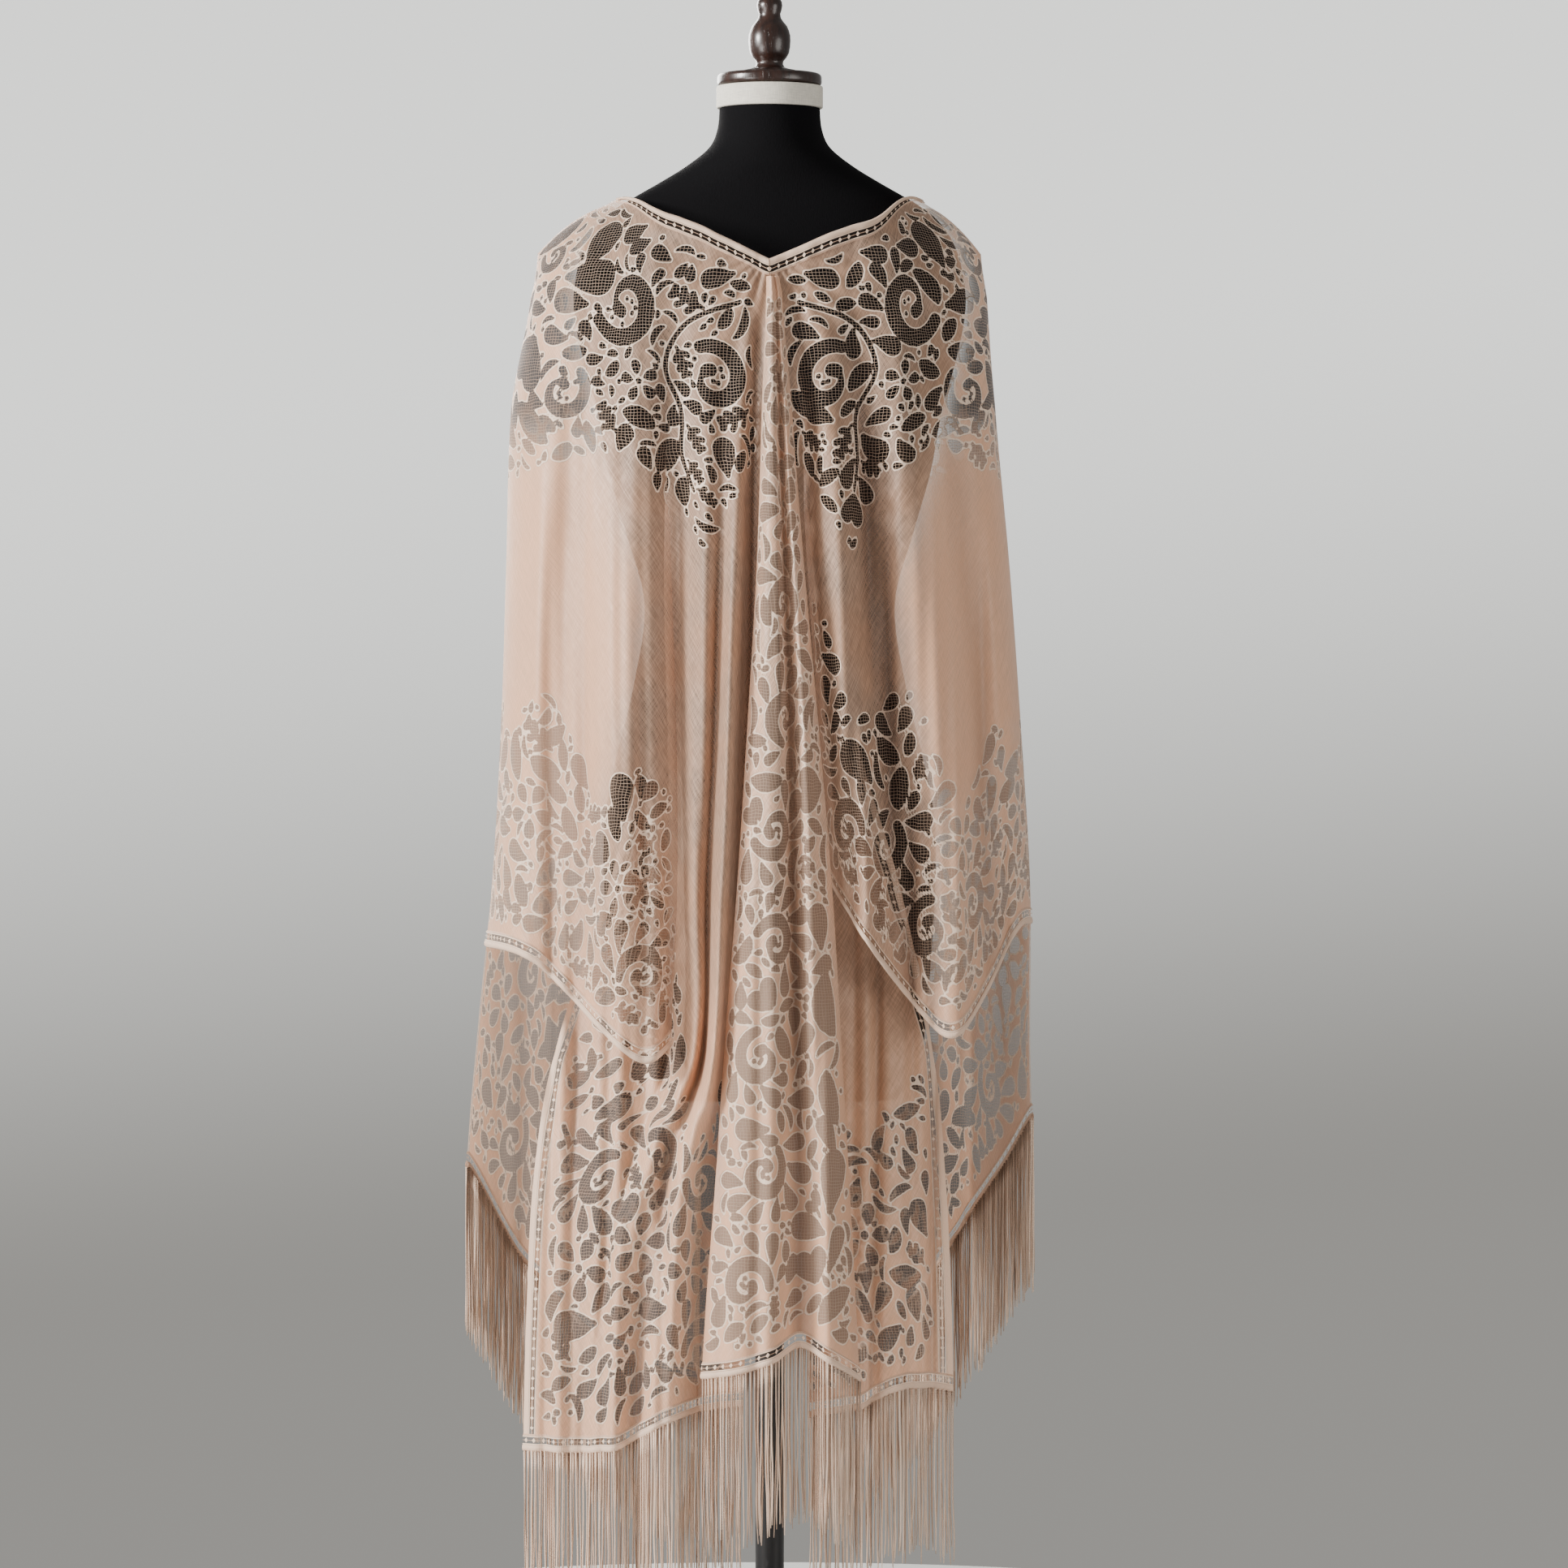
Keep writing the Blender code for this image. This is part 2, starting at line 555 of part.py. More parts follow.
def build_shawl(lace, trim):
    """All the cloth. Returns the panels that rest on the shoulders."""
    resting = []
    for side in (LEFT, RIGHT):
        body, sleeve, gusset = back_grids(side)
        front = front_grid(side)
        resting.append(cloth(f"back_{side.name}", (body, sleeve, gusset), lace))
        resting.append(cloth(f"front_{side.name}", (front,), lace))
        neck_end = len(body[0]) + sum(1 for p in sleeve[0][1:] if abs(p.x) < NECKLINE_END)
        yoke = [sum(pair, start=[])[:neck_end] for pair in ((body[k], sleeve[k][1:]) for k in (0, 1))]
        edge_band(f"neck_band_{side.name}", *yoke, -1, trim)
        edge_band(f"sleeve_band_{side.name}", sleeve[-1], sleeve[-2], -1, trim)
        hem, above = (body[k] + gusset[k][1:] for k in (-1, -2))
        edge_band(f"hem_band_{side.name}", hem, above, -1, trim)
        edge_band(f"front_hem_band_{side.name}", front[-1], front[-2], 1, trim)
        fringe(f"fringe_back_{side.name}", hem, FRINGE_COUNTS[f"back_{side.name}"], trim, 3)
        fringe(f"fringe_front_{side.name}", front[-1], FRINGE_COUNTS[f"front_{side.name}"], trim, 5)
    fall = cascade_grid()
    cloth("cascade", (fall,), lace)
    edge_band("cascade_band", fall[-1], fall[-2], -1, trim)
    fringe("fringe_cascade", fall[-1], FRINGE_COUNTS["cascade"], trim, 7)
    return resting


def build_form(resting, cover, neck_cover, wood, metal):
    """The dress form and its stand, seated under the cloth."""
    trial, _ = torso(0, cover)
    lift = seat_lift(trial, resting)
    bpy.data.meshes.remove(trial)
    mesh, surface = torso(lift, cover)
    new_object("torso", mesh, surface)
    neck_foot = FORM_SECTIONS[0][0] + lift + FIT_GAP
    drum("neck", NECK_RADIUS, neck_foot, NECK_TOP, neck_cover, 36)
    cap_foot = NECK_TOP + FIT_GAP
    drum("neck_cap", NECK_RADIUS - 1, cap_foot, cap_foot + COLLAR_HEIGHT, wood, 36)
    turned("finial", FINIAL_PROFILE, cap_foot + COLLAR_HEIGHT + FIT_GAP, wood)
    torso_foot = FORM_SECTIONS[-1][0] + lift - FIT_GAP
    socket_foot = torso_foot - POLE_SOCKET_HEIGHT
    drum("pole_socket", POLE_SOCKET_RADIUS, socket_foot, torso_foot, metal)
    drum("pole", POLE_RADIUS, BASE_HEIGHT + FIT_GAP, socket_foot - FIT_GAP, metal)
    base = drum("base", BASE_RADIUS, 0, BASE_HEIGHT, metal, 48)
    rounding = base.modifiers.new("rounding", "BEVEL")
    rounding.width = BASE_BEVEL * MM
    rounding.segments = 2
    rounding.angle_limit = math.radians(40)


def main():
    lace, trim = material("lace"), material("trim")
    resting = build_shawl(lace, trim)
    build_form(
        resting, material("form_cover"), material("neck_cover"), material("dark_wood"), material("stand_metal")
    )


for old in list(bpy.data.objects):
    bpy.data.objects.remove(old)
PARTS = bpy.data.collections.new("shawl on dress form")
bpy.context.scene.collection.children.link(PARTS)
main()
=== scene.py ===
"""The looks of the fringed lace shawl: its knit, lace, trims and fringe, the dress form and the stage.

The tables are in millimetres, and Blender's own values in metres. X runs to the viewer's right,
Y away from the viewer and Z up, as in the frame, and the shawl's back faces the camera.
"""

import math
from collections import namedtuple

import bmesh
import bpy
import numpy as np
from bpy.props import FloatProperty, FloatVectorProperty, PointerProperty
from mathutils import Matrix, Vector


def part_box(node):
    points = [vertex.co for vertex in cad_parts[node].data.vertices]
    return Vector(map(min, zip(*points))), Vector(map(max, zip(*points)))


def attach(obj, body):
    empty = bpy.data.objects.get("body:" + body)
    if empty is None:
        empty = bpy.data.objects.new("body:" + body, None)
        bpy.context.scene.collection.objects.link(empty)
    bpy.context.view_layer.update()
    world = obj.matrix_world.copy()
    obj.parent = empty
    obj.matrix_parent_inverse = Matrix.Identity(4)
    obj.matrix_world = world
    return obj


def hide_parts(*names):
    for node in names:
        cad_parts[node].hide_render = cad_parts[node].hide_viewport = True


bl_info = {
    "name": "Fringed lace shawl",
    "version": (1, 0, 0),
    "blender": (4, 5, 0),
    "location": "View3D > Sidebar > Shawl",
    "description": "Builds a lace shawl with its trims and fringe over a dress form",
    "category": "Object",
}

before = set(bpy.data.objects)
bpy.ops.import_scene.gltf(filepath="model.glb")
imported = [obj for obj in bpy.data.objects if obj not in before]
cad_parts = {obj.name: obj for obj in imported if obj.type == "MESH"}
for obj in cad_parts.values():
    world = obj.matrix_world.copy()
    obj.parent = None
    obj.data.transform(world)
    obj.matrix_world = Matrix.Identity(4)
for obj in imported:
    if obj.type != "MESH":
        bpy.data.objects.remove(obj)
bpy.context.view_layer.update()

MM = 0.001

# Cloth, in millimetres
SEAM_HALF_GAP = 0.05
BAND_WIDTH = 15.0
NECKLINE_END = 146.0
SHOULDER_ROUNDING = 100.0
GIRTH_POWER = 2.4
SLIT_TOP = 1147.0
SLIT_BLEND = 60.0
GUSSET_TOP = 900.0
COLUMNS_PER_FOLD = 24
# Columns over which a fold's valley is measured, for the painted shade in it
SHADE_REACH_COLUMNS = 33
MESH_OF_COLUMNS = 2.5

# A distance in from the edge that is beyond any trim
FAR = 99.0

# Fine creases: the point of the V and a shoulder's point, which they run out from, and their depths
V_POINT = 1338.0
SHOULDER_POINT = (195.0, 1385.0)
PLEAT_DEPTH = 1.6
SWELL_DEPTH = 7.5
DRAWN_DEPTH = 2.0
SLUNG_DEPTH = 2.4

# Lengths of cloth in the spans between rows that panels share, which set how many rows each has
YOKE_LENGTH = 250.0
SLIT_LENGTH = 247.0
SKIRT_LENGTH = 700.0
SLEEVE_LENGTH = 560.0
FRONT_LENGTH = 1180.0
CASCADE_LENGTH = 1050.0
FRONT_WIDTH = 390.0
CASCADE_WIDTH = 200.0

# Heights at which the folds are set out, and how far the hanging cloth stands behind and before
LEVELS = (1300, 1193, 1037, 881, 725, 569, 452, 320, 187)
DEPTH_LEVELS = (1400, *LEVELS)
BACK_DEPTH = (96, 114, 131, 142, 148, 151, 153, 155, 158, 160)
FRONT_DEPTH = (76, 106, 130, 134, 132, 132, 134, 138, 142, 146)

# name, distance of its top from the centre line, height of its hem, and at each level its
# distance from the centre line and how far it stands out of the hanging cloth. A row that ends
# early keeps its last value. A side's columns are those of its body, sleeve and gusset, and its
# seeds those of the back's and the front's lace.
Fold = namedtuple("Fold", "name top hem across proud")
Side = namedtuple(
    "Side", "name sign columns seeds girth ridge neckline front_neckline body sleeve gusset front"
)

LEFT = Side(
    name="left",
    sign=-1,
    columns=(78, 108, 44),
    seeds=(11, 37),
    girth=(233, 252, 257, 262, 271, 286, 295),
    ridge=((0, 1455), (76, 1450), (115, 1418), (150, 1394), (190, 1378), (226, 1345), (300, 1250)),
    neckline=((0, 1330), (61, 1361), (115, 1384), (143, 1393), (150, 1394)),
    front_neckline=((80, 1310), (100, 1322), (120, 1348), (140, 1378), (150, 1394)),
    body=(
        Fold("seam", 0.6, 232,
             (3, 5, 6, 8, 10, 14, 18, 22, 26),
             (0, -4, -12, -16, -18, -18, -16, -14, -12)),
        Fold("valley_1", 9, 228,
             (11, 15, 18, 22, 28, 36, 49, 56, 60),
             (-1, -10, -24, -30, -31, -30, -28, -24, -22)),
        Fold("ridge_a", 22, 217,
             (21, 26, 31, 37, 44, 52, 78, 92, 100),
             (0, 5, 12, 17, 18, 18, 18, 18, 16)),
        Fold("valley_2", 38, 200,
             (38, 43, 47, 52, 58, 63, 100, 118, 128),
             (0, -3, -8, -10, -12, -12, -4, -2, -4)),
        Fold("ridge_b", 58, 190,
             (57, 63, 65, 66, 68, 72, 120, 142, 151),
             (0, 3, 8, 9, 6, 0, 8)),
        Fold("slit", 84, 187,
             (88, 97, 101, 98, 94, 96, 136, 162, 171),
             (-2, -10, -27, -36, -38, -38, -12, -4)),
    ),
    sleeve=(
        Fold("slit", 84, 575,
             (88, 97, 94, 89, 88, 94),
             (-2, -10, -12, -13, -11, -8)),
        Fold("ridge_c", 112, 562,
             (118, 128, 135, 138, 136, 126),
             (1, 6, 14, 20, 22)),
        Fold("valley_d", 160, 634,
             (160, 178, 194, 200, 202, 204),
             (0, -3, -8, -12, -14)),
        Fold("ridge_e", 194, 660,
             (198, 212, 223, 231, 236, 238),
             (0, 2, 4, 6, 8)),
        Fold("outer", 226, 668,
             (233, 252, 257, 262, 271, 286),
             (0,)),
    ),
    gusset=(
        Fold("slit", 92, 187,
             (88, 97, 101, 98, 94, 96, 136, 162, 171),
             (-2, -10, -27, -36, -38, -38, -12, -4)),
        Fold("fold_1", 101, 187,
             (101, 101, 101, 102, 110, 132, 170, 190, 197),
             (-36, -36, -36, -36, -38, -37, -8, 2, 4)),
        Fold("fold_2", 110, 187,
             (110, 110, 110, 112, 134, 172, 202, 214, 218),
             (-38, -38, -38, -38, -40, -36, -16, -8)),
        Fold("edge", 118, 187,
             (118, 118, 118, 122, 155, 206, 226, 233, 236),
             (-38, -38, -38, -38, -40, -36, -14, -6, -4)),
    ),
    front=(
        Fold("outer", 226, 452,
             (233, 252, 257, 262, 271, 286, 295),
             (0,)),
        Fold("valley_1", 190, 372,
             (196, 212, 226, 236, 244, 250, 254),
             (0, -4, -8, -12, -14)),
        Fold("ridge_1", 165, 318,
             (165, 178, 190, 198, 206, 212, 216),
             (0, 4, 10, 14, 16)),
        Fold("valley_2", 142, 280,
             (135, 146, 156, 162, 168, 174, 178),
             (0, -3, -6, -8, -10)),
        Fold("ridge_2", 122, 255,
             (118, 120, 124, 128, 134, 140, 144),
             (0, 3, 8, 12, 14)),
        Fold("valley_3", 102, 238,
             (100, 96, 92, 94, 98, 104, 108),
             (0, -2, -4, -5, -7, -8)),
        Fold("edge", 84, 226,
             (84, 74, 66, 64, 64, 66, 68, 70),
             (0, 0, 2, 4)),
    ),
)

RIGHT = Side(
    name="right",
    sign=1,
    columns=(42, 118, 48),
    seeds=(23, 41),
    girth=(212, 220, 234, 245, 254, 254, 257, 258),
    ridge=((0, 1455), (76, 1450), (115, 1416), (150, 1392), (184, 1372), (206, 1342), (300, 1220)),
    neckline=((0, 1330), (48, 1351), (103, 1373), (138, 1390), (150, 1392)),
    front_neckline=((80, 1310), (100, 1322), (120, 1348), (140, 1378), (150, 1392)),
    body=(
        Fold("seam", 0.6, 222,
             (3, 6, 8, 12, 16, 22, 28, 34, 40),
             (0, -4, -12, -16, -18, -18, -16, -14, -12)),
        Fold("mid", 8, 225,
             (10, 15, 22, 30, 38, 46, 52, 58, 63),
             (-1, -9, -20, -27, -29, -28, -24, -20, -18)),
        Fold("slit", 16, 228,
             (20, 28, 42, 55, 67, 75, 80, 85, 89),
             (-2, -12, -29, -36, -38, -34, -28, -20, -18)),
    ),
    sleeve=(
        Fold("slit", 16, 733,
             (20, 28, 36, 47, 58, 67),
             (-2, -12, -15, -16, -16, -14)),
        Fold("ridge_a", 42, 668,
             (46, 56, 69, 83, 94, 100),
             (1, 6, 14, 19, 21, 22)),
        Fold("valley_b", 76, 622,
             (80, 92, 107, 119, 127, 133),
             (-1, -6, -12, -15, -16)),
        Fold("ridge_c", 108, 583,
             (114, 131, 149, 163, 170, 173),
             (1, 6, 14, 20, 22)),
        Fold("valley_d", 152, 626,
             (154, 172, 188, 200, 207, 210),
             (0, -3, -8, -11, -12)),
        Fold("ridge_e", 184, 684,
             (186, 199, 213, 227, 237, 242),
             (0, 2, 4, 6, 8)),
        Fold("outer", 206, 690,
             (212, 220, 234, 245, 254),
             (0,)),
    ),
    gusset=(
        Fold("slit", 51, 228,
             (20, 28, 42, 55, 67, 75, 80, 85, 89),
             (-2, -12, -29, -36, -38, -34, -28, -20, -18)),
        Fold("fold_1", 60, 246,
             (60, 60, 60, 61, 84, 104, 114, 119, 121),
             (-36, -36, -36, -37, -40, -36, -22, -12, -10)),
        Fold("fold_2", 70, 247,
             (70, 70, 70, 72, 106, 134, 144, 149, 151),
             (-38, -38, -38, -39, -44, -42, -32, -24, -22)),
        Fold("edge", 80, 243,
             (80, 80, 80, 83, 126, 157, 169, 175, 177),
             (-40, -40, -40, -41, -46, -44, -36, -30, -28)),
    ),
    front=(
        Fold("outer", 206, 499,
             (212, 220, 234, 245, 254, 254, 257, 258),
             (0,)),
        Fold("valley_1", 184, 455,
             (188, 200, 212, 222, 229, 231, 233),
             (0, -4, -8, -12, -14)),
        Fold("ridge_1", 162, 400,
             (162, 170, 180, 188, 194, 198, 200),
             (0, 4, 10, 14, 16)),
        Fold("valley_2", 142, 350,
             (135, 144, 152, 158, 162, 166, 168),
             (0, -3, -6, -8, -10)),
        Fold("ridge_2", 122, 305,
             (116, 118, 120, 124, 130, 134, 136),
             (0, 3, 8, 12, 14)),
        Fold("valley_3", 102, 270,
             (100, 94, 90, 90, 94, 98, 100),
             (0, -2, -4, -5, -7, -8)),
        Fold("edge", 84, 245,
             (84, 72, 64, 60, 58),
             (0, 0, 2, 4)),
    ),
)

# The cascade's folds lie across the centre line, so their distances carry a sign
CASCADE_TOP = 1313
CASCADE = (
    Fold("edge_left", -3, 260,
         (-3, -7, -12, -21, -31, -43, -51, -61, -67),
         (2.0, 6, 8, 9)),
    Fold("ridge_left", -1, 266,
         (-1, -2, -3, -6, -11, -17, -22, -28, -32),
         (6, 20, 27, 32, 34, 35)),
    Fold("flat_left", 2, 276,
         (3, 5, 8, 9, 7, 6, 5, 3, 1),
         (8, 22, 28, 32, 34, 35)),
    Fold("valley", 4, 290,
         (6, 10, 15, 20, 22, 26, 28, 29),
         (4.5, 9, 10, 11)),
    Fold("ridge_right", 6, 276,
         (9, 15, 24, 33, 41, 47, 52, 56, 59),
         (6, 18, 24, 28, 30, 31)),
    Fold("edge_right", 9, 257,
         (12, 21, 33, 47, 60, 69, 76, 83, 88),
         (2.0, 5, 6, 7)),
)

# Across a trim, in millimetres: distance in from the cloth's edge, and height above the cloth
TRIM_PROFILE = (
    (6.0, -0.7),
    (3.2, -1.3),
    (0.9, -1.0),
    (-0.3, 0.1),
    (0.7, 1.5),
    (2.8, 2.1),
    (4.8, 1.8),
    (6.0, 1.2),
    (6.7, 1.5),
    (7.6, 0.8),
    (8.9, 0.8),
    (10.3, 1.3),
    (11.7, 0.8),
    (13.0, 0.8),
    (13.8, 1.5),
    (14.6, 1.0),
    (16.2, 0.3),
)
TRIM_STEP = 2.5
LADDER_PITCH = 9.5
LADDER_MIDDLE = 10.2
LADDER_CORDS = (6.6, 13.8)

# Lace, in millimetres, with the room it keeps to a hem, to the neckline and to an edge with a ladder
LACE_CELL = 1.25
LACE_GAP = 1.5
LACE_REACH = 6.0
STEM_RADIUS = 1.7
HEM_ROOM = 24
NECK_ROOM = 23
EDGE_ROOM = 19
YOKE_FOOT = 1000
SKIRT_CROWN = 940

# Lowest and highest place that each map reaches, and how far it goes past the cloth's width
MAP_MARGIN = 10
YOKE_SPAN = (1020, 1440)
CUFF_SPAN = (540, 990)
SKIRT_SPAN = (160, 940)
FRONT_SPAN = (200, 1460)
CASCADE_SPAN = (230, 1400)

# Size and number of tries of the motifs that fill the room that is left
FILLING = ((60, 200), (48, 320), (38, 520), (29, 900), (21, 1500), (14, 2600), (9, 2400), (5, 500))
FULLER = tuple((size, 2 * tries) for size, tries in FILLING)

# centre, radius, angle, turn and width of each scroll of the yoke. The last has no leaves.
YOKE_SCROLLS = (
    ((60, 1214), 33, 1.2, 6.4, 17),
    ((152, 1288), 38, -0.4, -6.8, 18),
    ((228, 1204), 27, 2.4, 6.0, 13),
    ((262, 1350), 22, 0.3, -6.0, 11),
)

# Distance across, height, angle, length and width
YOKE_PETALS = (
    (206, 1330, 1.9, 52, 34),
    (230, 1318, 1.0, 48, 30),
    (202, 1288, 0.1, 42, 25),
    (90, 1100, -2.3, 40, 27),
    (102, 1094, -1.5, 46, 28),
    (114, 1102, -0.7, 38, 26),
    (38, 1316, -0.3, 34, 20),
)
YOKE_BLOSSOMS = ((92, 1326, 0.4, 24), (184, 1190, 0.9, 22), (140, 1212, 0.2, 20))
YOKE_VINES = (
    ((28, 1288), (84, 1268), (110, 1226), (98, 1180), (106, 1138), (101, 1106)),
    ((118, 1240), (160, 1236), (206, 1252), (250, 1286), (280, 1316)),
    ((104, 1166), (150, 1160), (200, 1156), (240, 1160)),
    ((18, 1250), (14, 1200), (26, 1150), (22, 1100)),
)

# Distance across and height of the yoke's foot and of the skirt's crown
YOKE_DROPS = ((0, 1150), (60, 1090), (92, 1046), (112, 1058), (140, 1120), (190, 1146), (260, 1128),
              (330, 1120), (400, 1110))
CROWN = ((0, 760), (40, 560), (90, 470), (130, 540), (170, 620), (210, 820), (400, 900))

# What is set over each foot along a hem. hem is 1 where up is counted from the hem, and 0 where it
# is a height. Over every other foot it stands higher by odd, and turns the other way.
Motif = namedtuple("Motif", "kind across hem up odd size spin turn width", defaults=(0, 0))
FIRST_FOOT = 40
SKIRT_PITCH = 74
SKIRT_MOTIFS = (
    Motif("spray", 4, 1, 82, 22, 29, 0.6, 6.4, 15),
    Motif("blossom", 34, 1, 160, 24, 30, 0.4),
    Motif("spray", 20, 1, 244, 22, 26, 0.9, -6.2, 14),
)
CUFF_PITCH = 70
CUFF_MOTIFS = (
    Motif("spray", 0, 1, 82, 34, 28, 0.8, 6.6, 15),
    Motif("blossom", 30, 1, 166, -26, 27, 0.5),
)
FRONT_PITCH = 72
FRONT_FEET = 6
FRONT_MOTIFS = (
    Motif("spray", 4, 1, 88, 0, 29, 0.7, 6.5, 15),
    Motif("blossom", 32, 1, 168, 0, 29, 0.4),
    Motif("spray", 10, 1, 252, 0, 26, 1.1, -6.2, 14),
    Motif("spray", 28, 0, 1246, 30, 28, 0.9, -6.5, 15),
)

# Size of a vine's leaves along the hems, in the yoke and on the cascade
VINE_LEAF = 30
YOKE_LEAF = 29
CASCADE_LEAF = 28

# The vines over each foot: distance across, the part of it that is mirrored, hem and up
SKIRT_VINES = (
    ((-34, 0, 1, 34), (-40, 0, 1, 100), (0, -26, 1, 170), (0, -34, 1, 270), (0, -10, 1, 350)),
)
CUFF_VINES = (
    ((-34, 0, 1, 34), (-38, 0, 1, 90), (0, -30, 1, 160), (0, -12, 1, 220), (0, 6, 1, 276)),
)
FRONT_VINES = (
    ((-34, 0, 1, 34), (-38, 0, 1, 120), (-20, 0, 1, 200), (-36, 0, 1, 300), (-20, 0, 1, 390)),
    ((0, 0, 0, 1370), (0, 14, 0, 1300), (-12, 0, 0, 1230), (8, 0, 0, 1180)),
)
CASCADE_MOTIFS = 9
CASCADE_SEED = 53
CASCADE_FOOT = 320
CASCADE_PITCH = 108

# Share of the light that goes through the knit, and through the front panels' more open knit
GLOW = 0.17
FRONT_GLOW = 0.36

# Fringe, in millimetres
FRINGE_LENGTH = 160.0
FRINGE_SPREAD = 0.06
STRAND_RINGS = 9
CLUMP_WIDTH = 9.0
FIRST_FRINGE_SEED = 60

# Share of a thread's length, and its radius there against its own: a knot, the thread and its tip
THREAD_PROFILE = ((0, 1.6), (0.04, 1.5), (0.12, 1), (0.9, 1), (1, 0.6))

# Dress form, in millimetres: height, half width, half depth and the centre's place in depth
FORM_SECTIONS = (
    (1484, 52, 52, 0),
    (1464, 54, 53, 0),
    (1446, 62, 57, 0),
    (1428, 84, 60, 0),
    (1412, 110, 58, 0),
    (1400, 131, 57, 0),
    (1388, 151, 58, 0),
    (1374, 168, 61, 0),
    (1355, 181, 67, -1),
    (1330, 190, 76, -2),
    (1290, 194, 88, -4),
    (1240, 185, 101, -3),
    (1190, 171, 108, 0),
    (1130, 160, 115, 6),
    (1070, 143, 107, 6),
    (1000, 125, 96, 2),
    (920, 136, 101, 0),
    (840, 155, 108, -2),
    (770, 165, 110, -3),
    (650, 160, 106, 0),
    (520, 148, 98, 0),
)
FORM_INSET = 3.0

# How the knit gets denser beyond the form, and its net's gaps more filled with painted shade: over a width
# at its outline, and over a height above its foot. And where its net is painted dark, as shade: in the yoke,
# and before the form's foot near the middle
OUTLINE_FADE = (-22, 22)
FOOT_FADE = (240, 260)
YOKE_FADE = (1130, 1200)
DARK_FOOT_FADE = (120, 140)
MIDDLE_FADE = (180, 240)
FORM_SIDES = 96
FORM_RINGS = 160

# Radius and height above the neck cap, from the top of the turned finial down
FINIAL_PROFILE = (
    (0.0, 100.0),
    (3.5, 99.4),
    (6.0, 97.0),
    (8.4, 93.0),
    (9.0, 88.0),
    (8.2, 83.0),
    (6.5, 79.0),
    (7.2, 75.5),
    (10.0, 73.0),
    (12.0, 70.0),
    (12.5, 66.0),
    (11.6, 61.5),
    (10.5, 58.0),
    (11.2, 54.0),
    (14.0, 50.0),
    (17.0, 46.5),
    (19.0, 42.0),
    (20.3, 37.0),
    (20.5, 32.0),
    (20.1, 26.0),
    (19.0, 20.0),
    (16.5, 15.5),
    (13.5, 12.0),
    (13.2, 9.0),
    (15.0, 6.0),
    (20.0, 4.2),
    (26.0, 3.0),
    (28.0, 1.5),
    (28.0, 0.0),
    (0.0, 0.0),
)

# Each lamp's name, place and size in metres, share of the window's power, and colour
LAMPS = (
    ("window", (-3.3, -1.4, 2.1), 1.0, 1.0, (1.0, 0.985, 0.96)),
    ("bounce", (2.8, -2.2, 0.9), 2.2, 0.17, (1.0, 0.96, 0.92)),
    ("low", (-2.6, -2.4, 0.3), 1.6, 0.22, (1.0, 0.97, 0.94)),
    ("behind", (-1.4, 2.8, 2.0), 2.0, 0.42, (1.0, 0.98, 0.95)),
)

# The room's colours behind the shawl, above and below, and all round it
ROOM_ABOVE = (1.38, 1.39, 1.35)
ROOM_BELOW = (0.33, 0.32, 0.30)
ROOM_ROUND = (0.30, 0.30, 0.295)

# In millimetres
FLOOR_THICKNESS = 4.0
SENSOR_WIDTH = 36.0
TURNED_SIDES = 64
DRUM_SIDES = 96

# The grids of the panels once they are made, for the trims and the fringe along their hems
HEMS = {}


def smooth(values, t):
    """Catmull-Rom curves through the rows of values, at places t counted in rows."""
    values = np.asarray(values, float)
    t = np.asarray(t, float)
    last = len(values) - 1
    i = np.clip(np.floor(t).astype(int), 0, last - 1)
    a, b, c, d = (values[np.clip(i + k, 0, last)] for k in (-1, 0, 1, 2))
    f = (t - i).reshape(t.shape + (1,) * (b.ndim - t.ndim))
    return b + 0.5 * f * (c - a + f * (2 * a - 5 * b + 4 * c - d + f * (3 * (b - c) + d - a)))


def at_height(levels, values, z):
    """A smooth curve through values set out at falling levels, held level beyond the ends."""
    values = [*values, *[values[-1]] * (len(levels) - len(values))]
    return smooth(values, np.interp(-np.asarray(z, float), -np.asarray(levels, float), range(len(levels))))


def straight(table, x):
    """Straight lines between the (x, value) rows of a table."""
    return np.interp(x, *zip(*table))


def ridge_line(side, top):
    """Height of the shoulder ridge over a distance from the centre line, with its corners eased."""
    return np.mean([straight(side.ridge, top + off) for off in np.linspace(-18, 18, 7)], axis=0)


def step_up(value, low, high):
    """From 0 at low to 1 at high, smoothly."""
    t = np.clip((value - low) / (high - low), 0, 1)
    return t * t * (3 - 2 * t)


def fall_length(drop):
    """Length of cloth that has passed over the shoulder at a drop below the ridge."""
    r = SHOULDER_ROUNDING
    round_part = r * np.arccos(1 - np.clip(drop, 0, r) / r)
    return np.where(drop >= r, r * math.pi / 2 + drop - r, round_part)


def fall_drop(length):
    """The drop below the ridge after a length of cloth. Undoes fall_length."""
    r = SHOULDER_ROUNDING
    return np.where(length >= r * math.pi / 2, length - r * math.pi / 2 + r, r * (1 - np.cos(length / r)))


def rays(off, drop, count, phase, near, far):
    """Creases that run out from a point, with none at the point and none far away."""
    reach = np.hypot(off, drop)
    return np.sin(count * np.arctan2(off, drop) + phase) * np.exp(-reach / far) * (1 - np.exp(-reach / near))


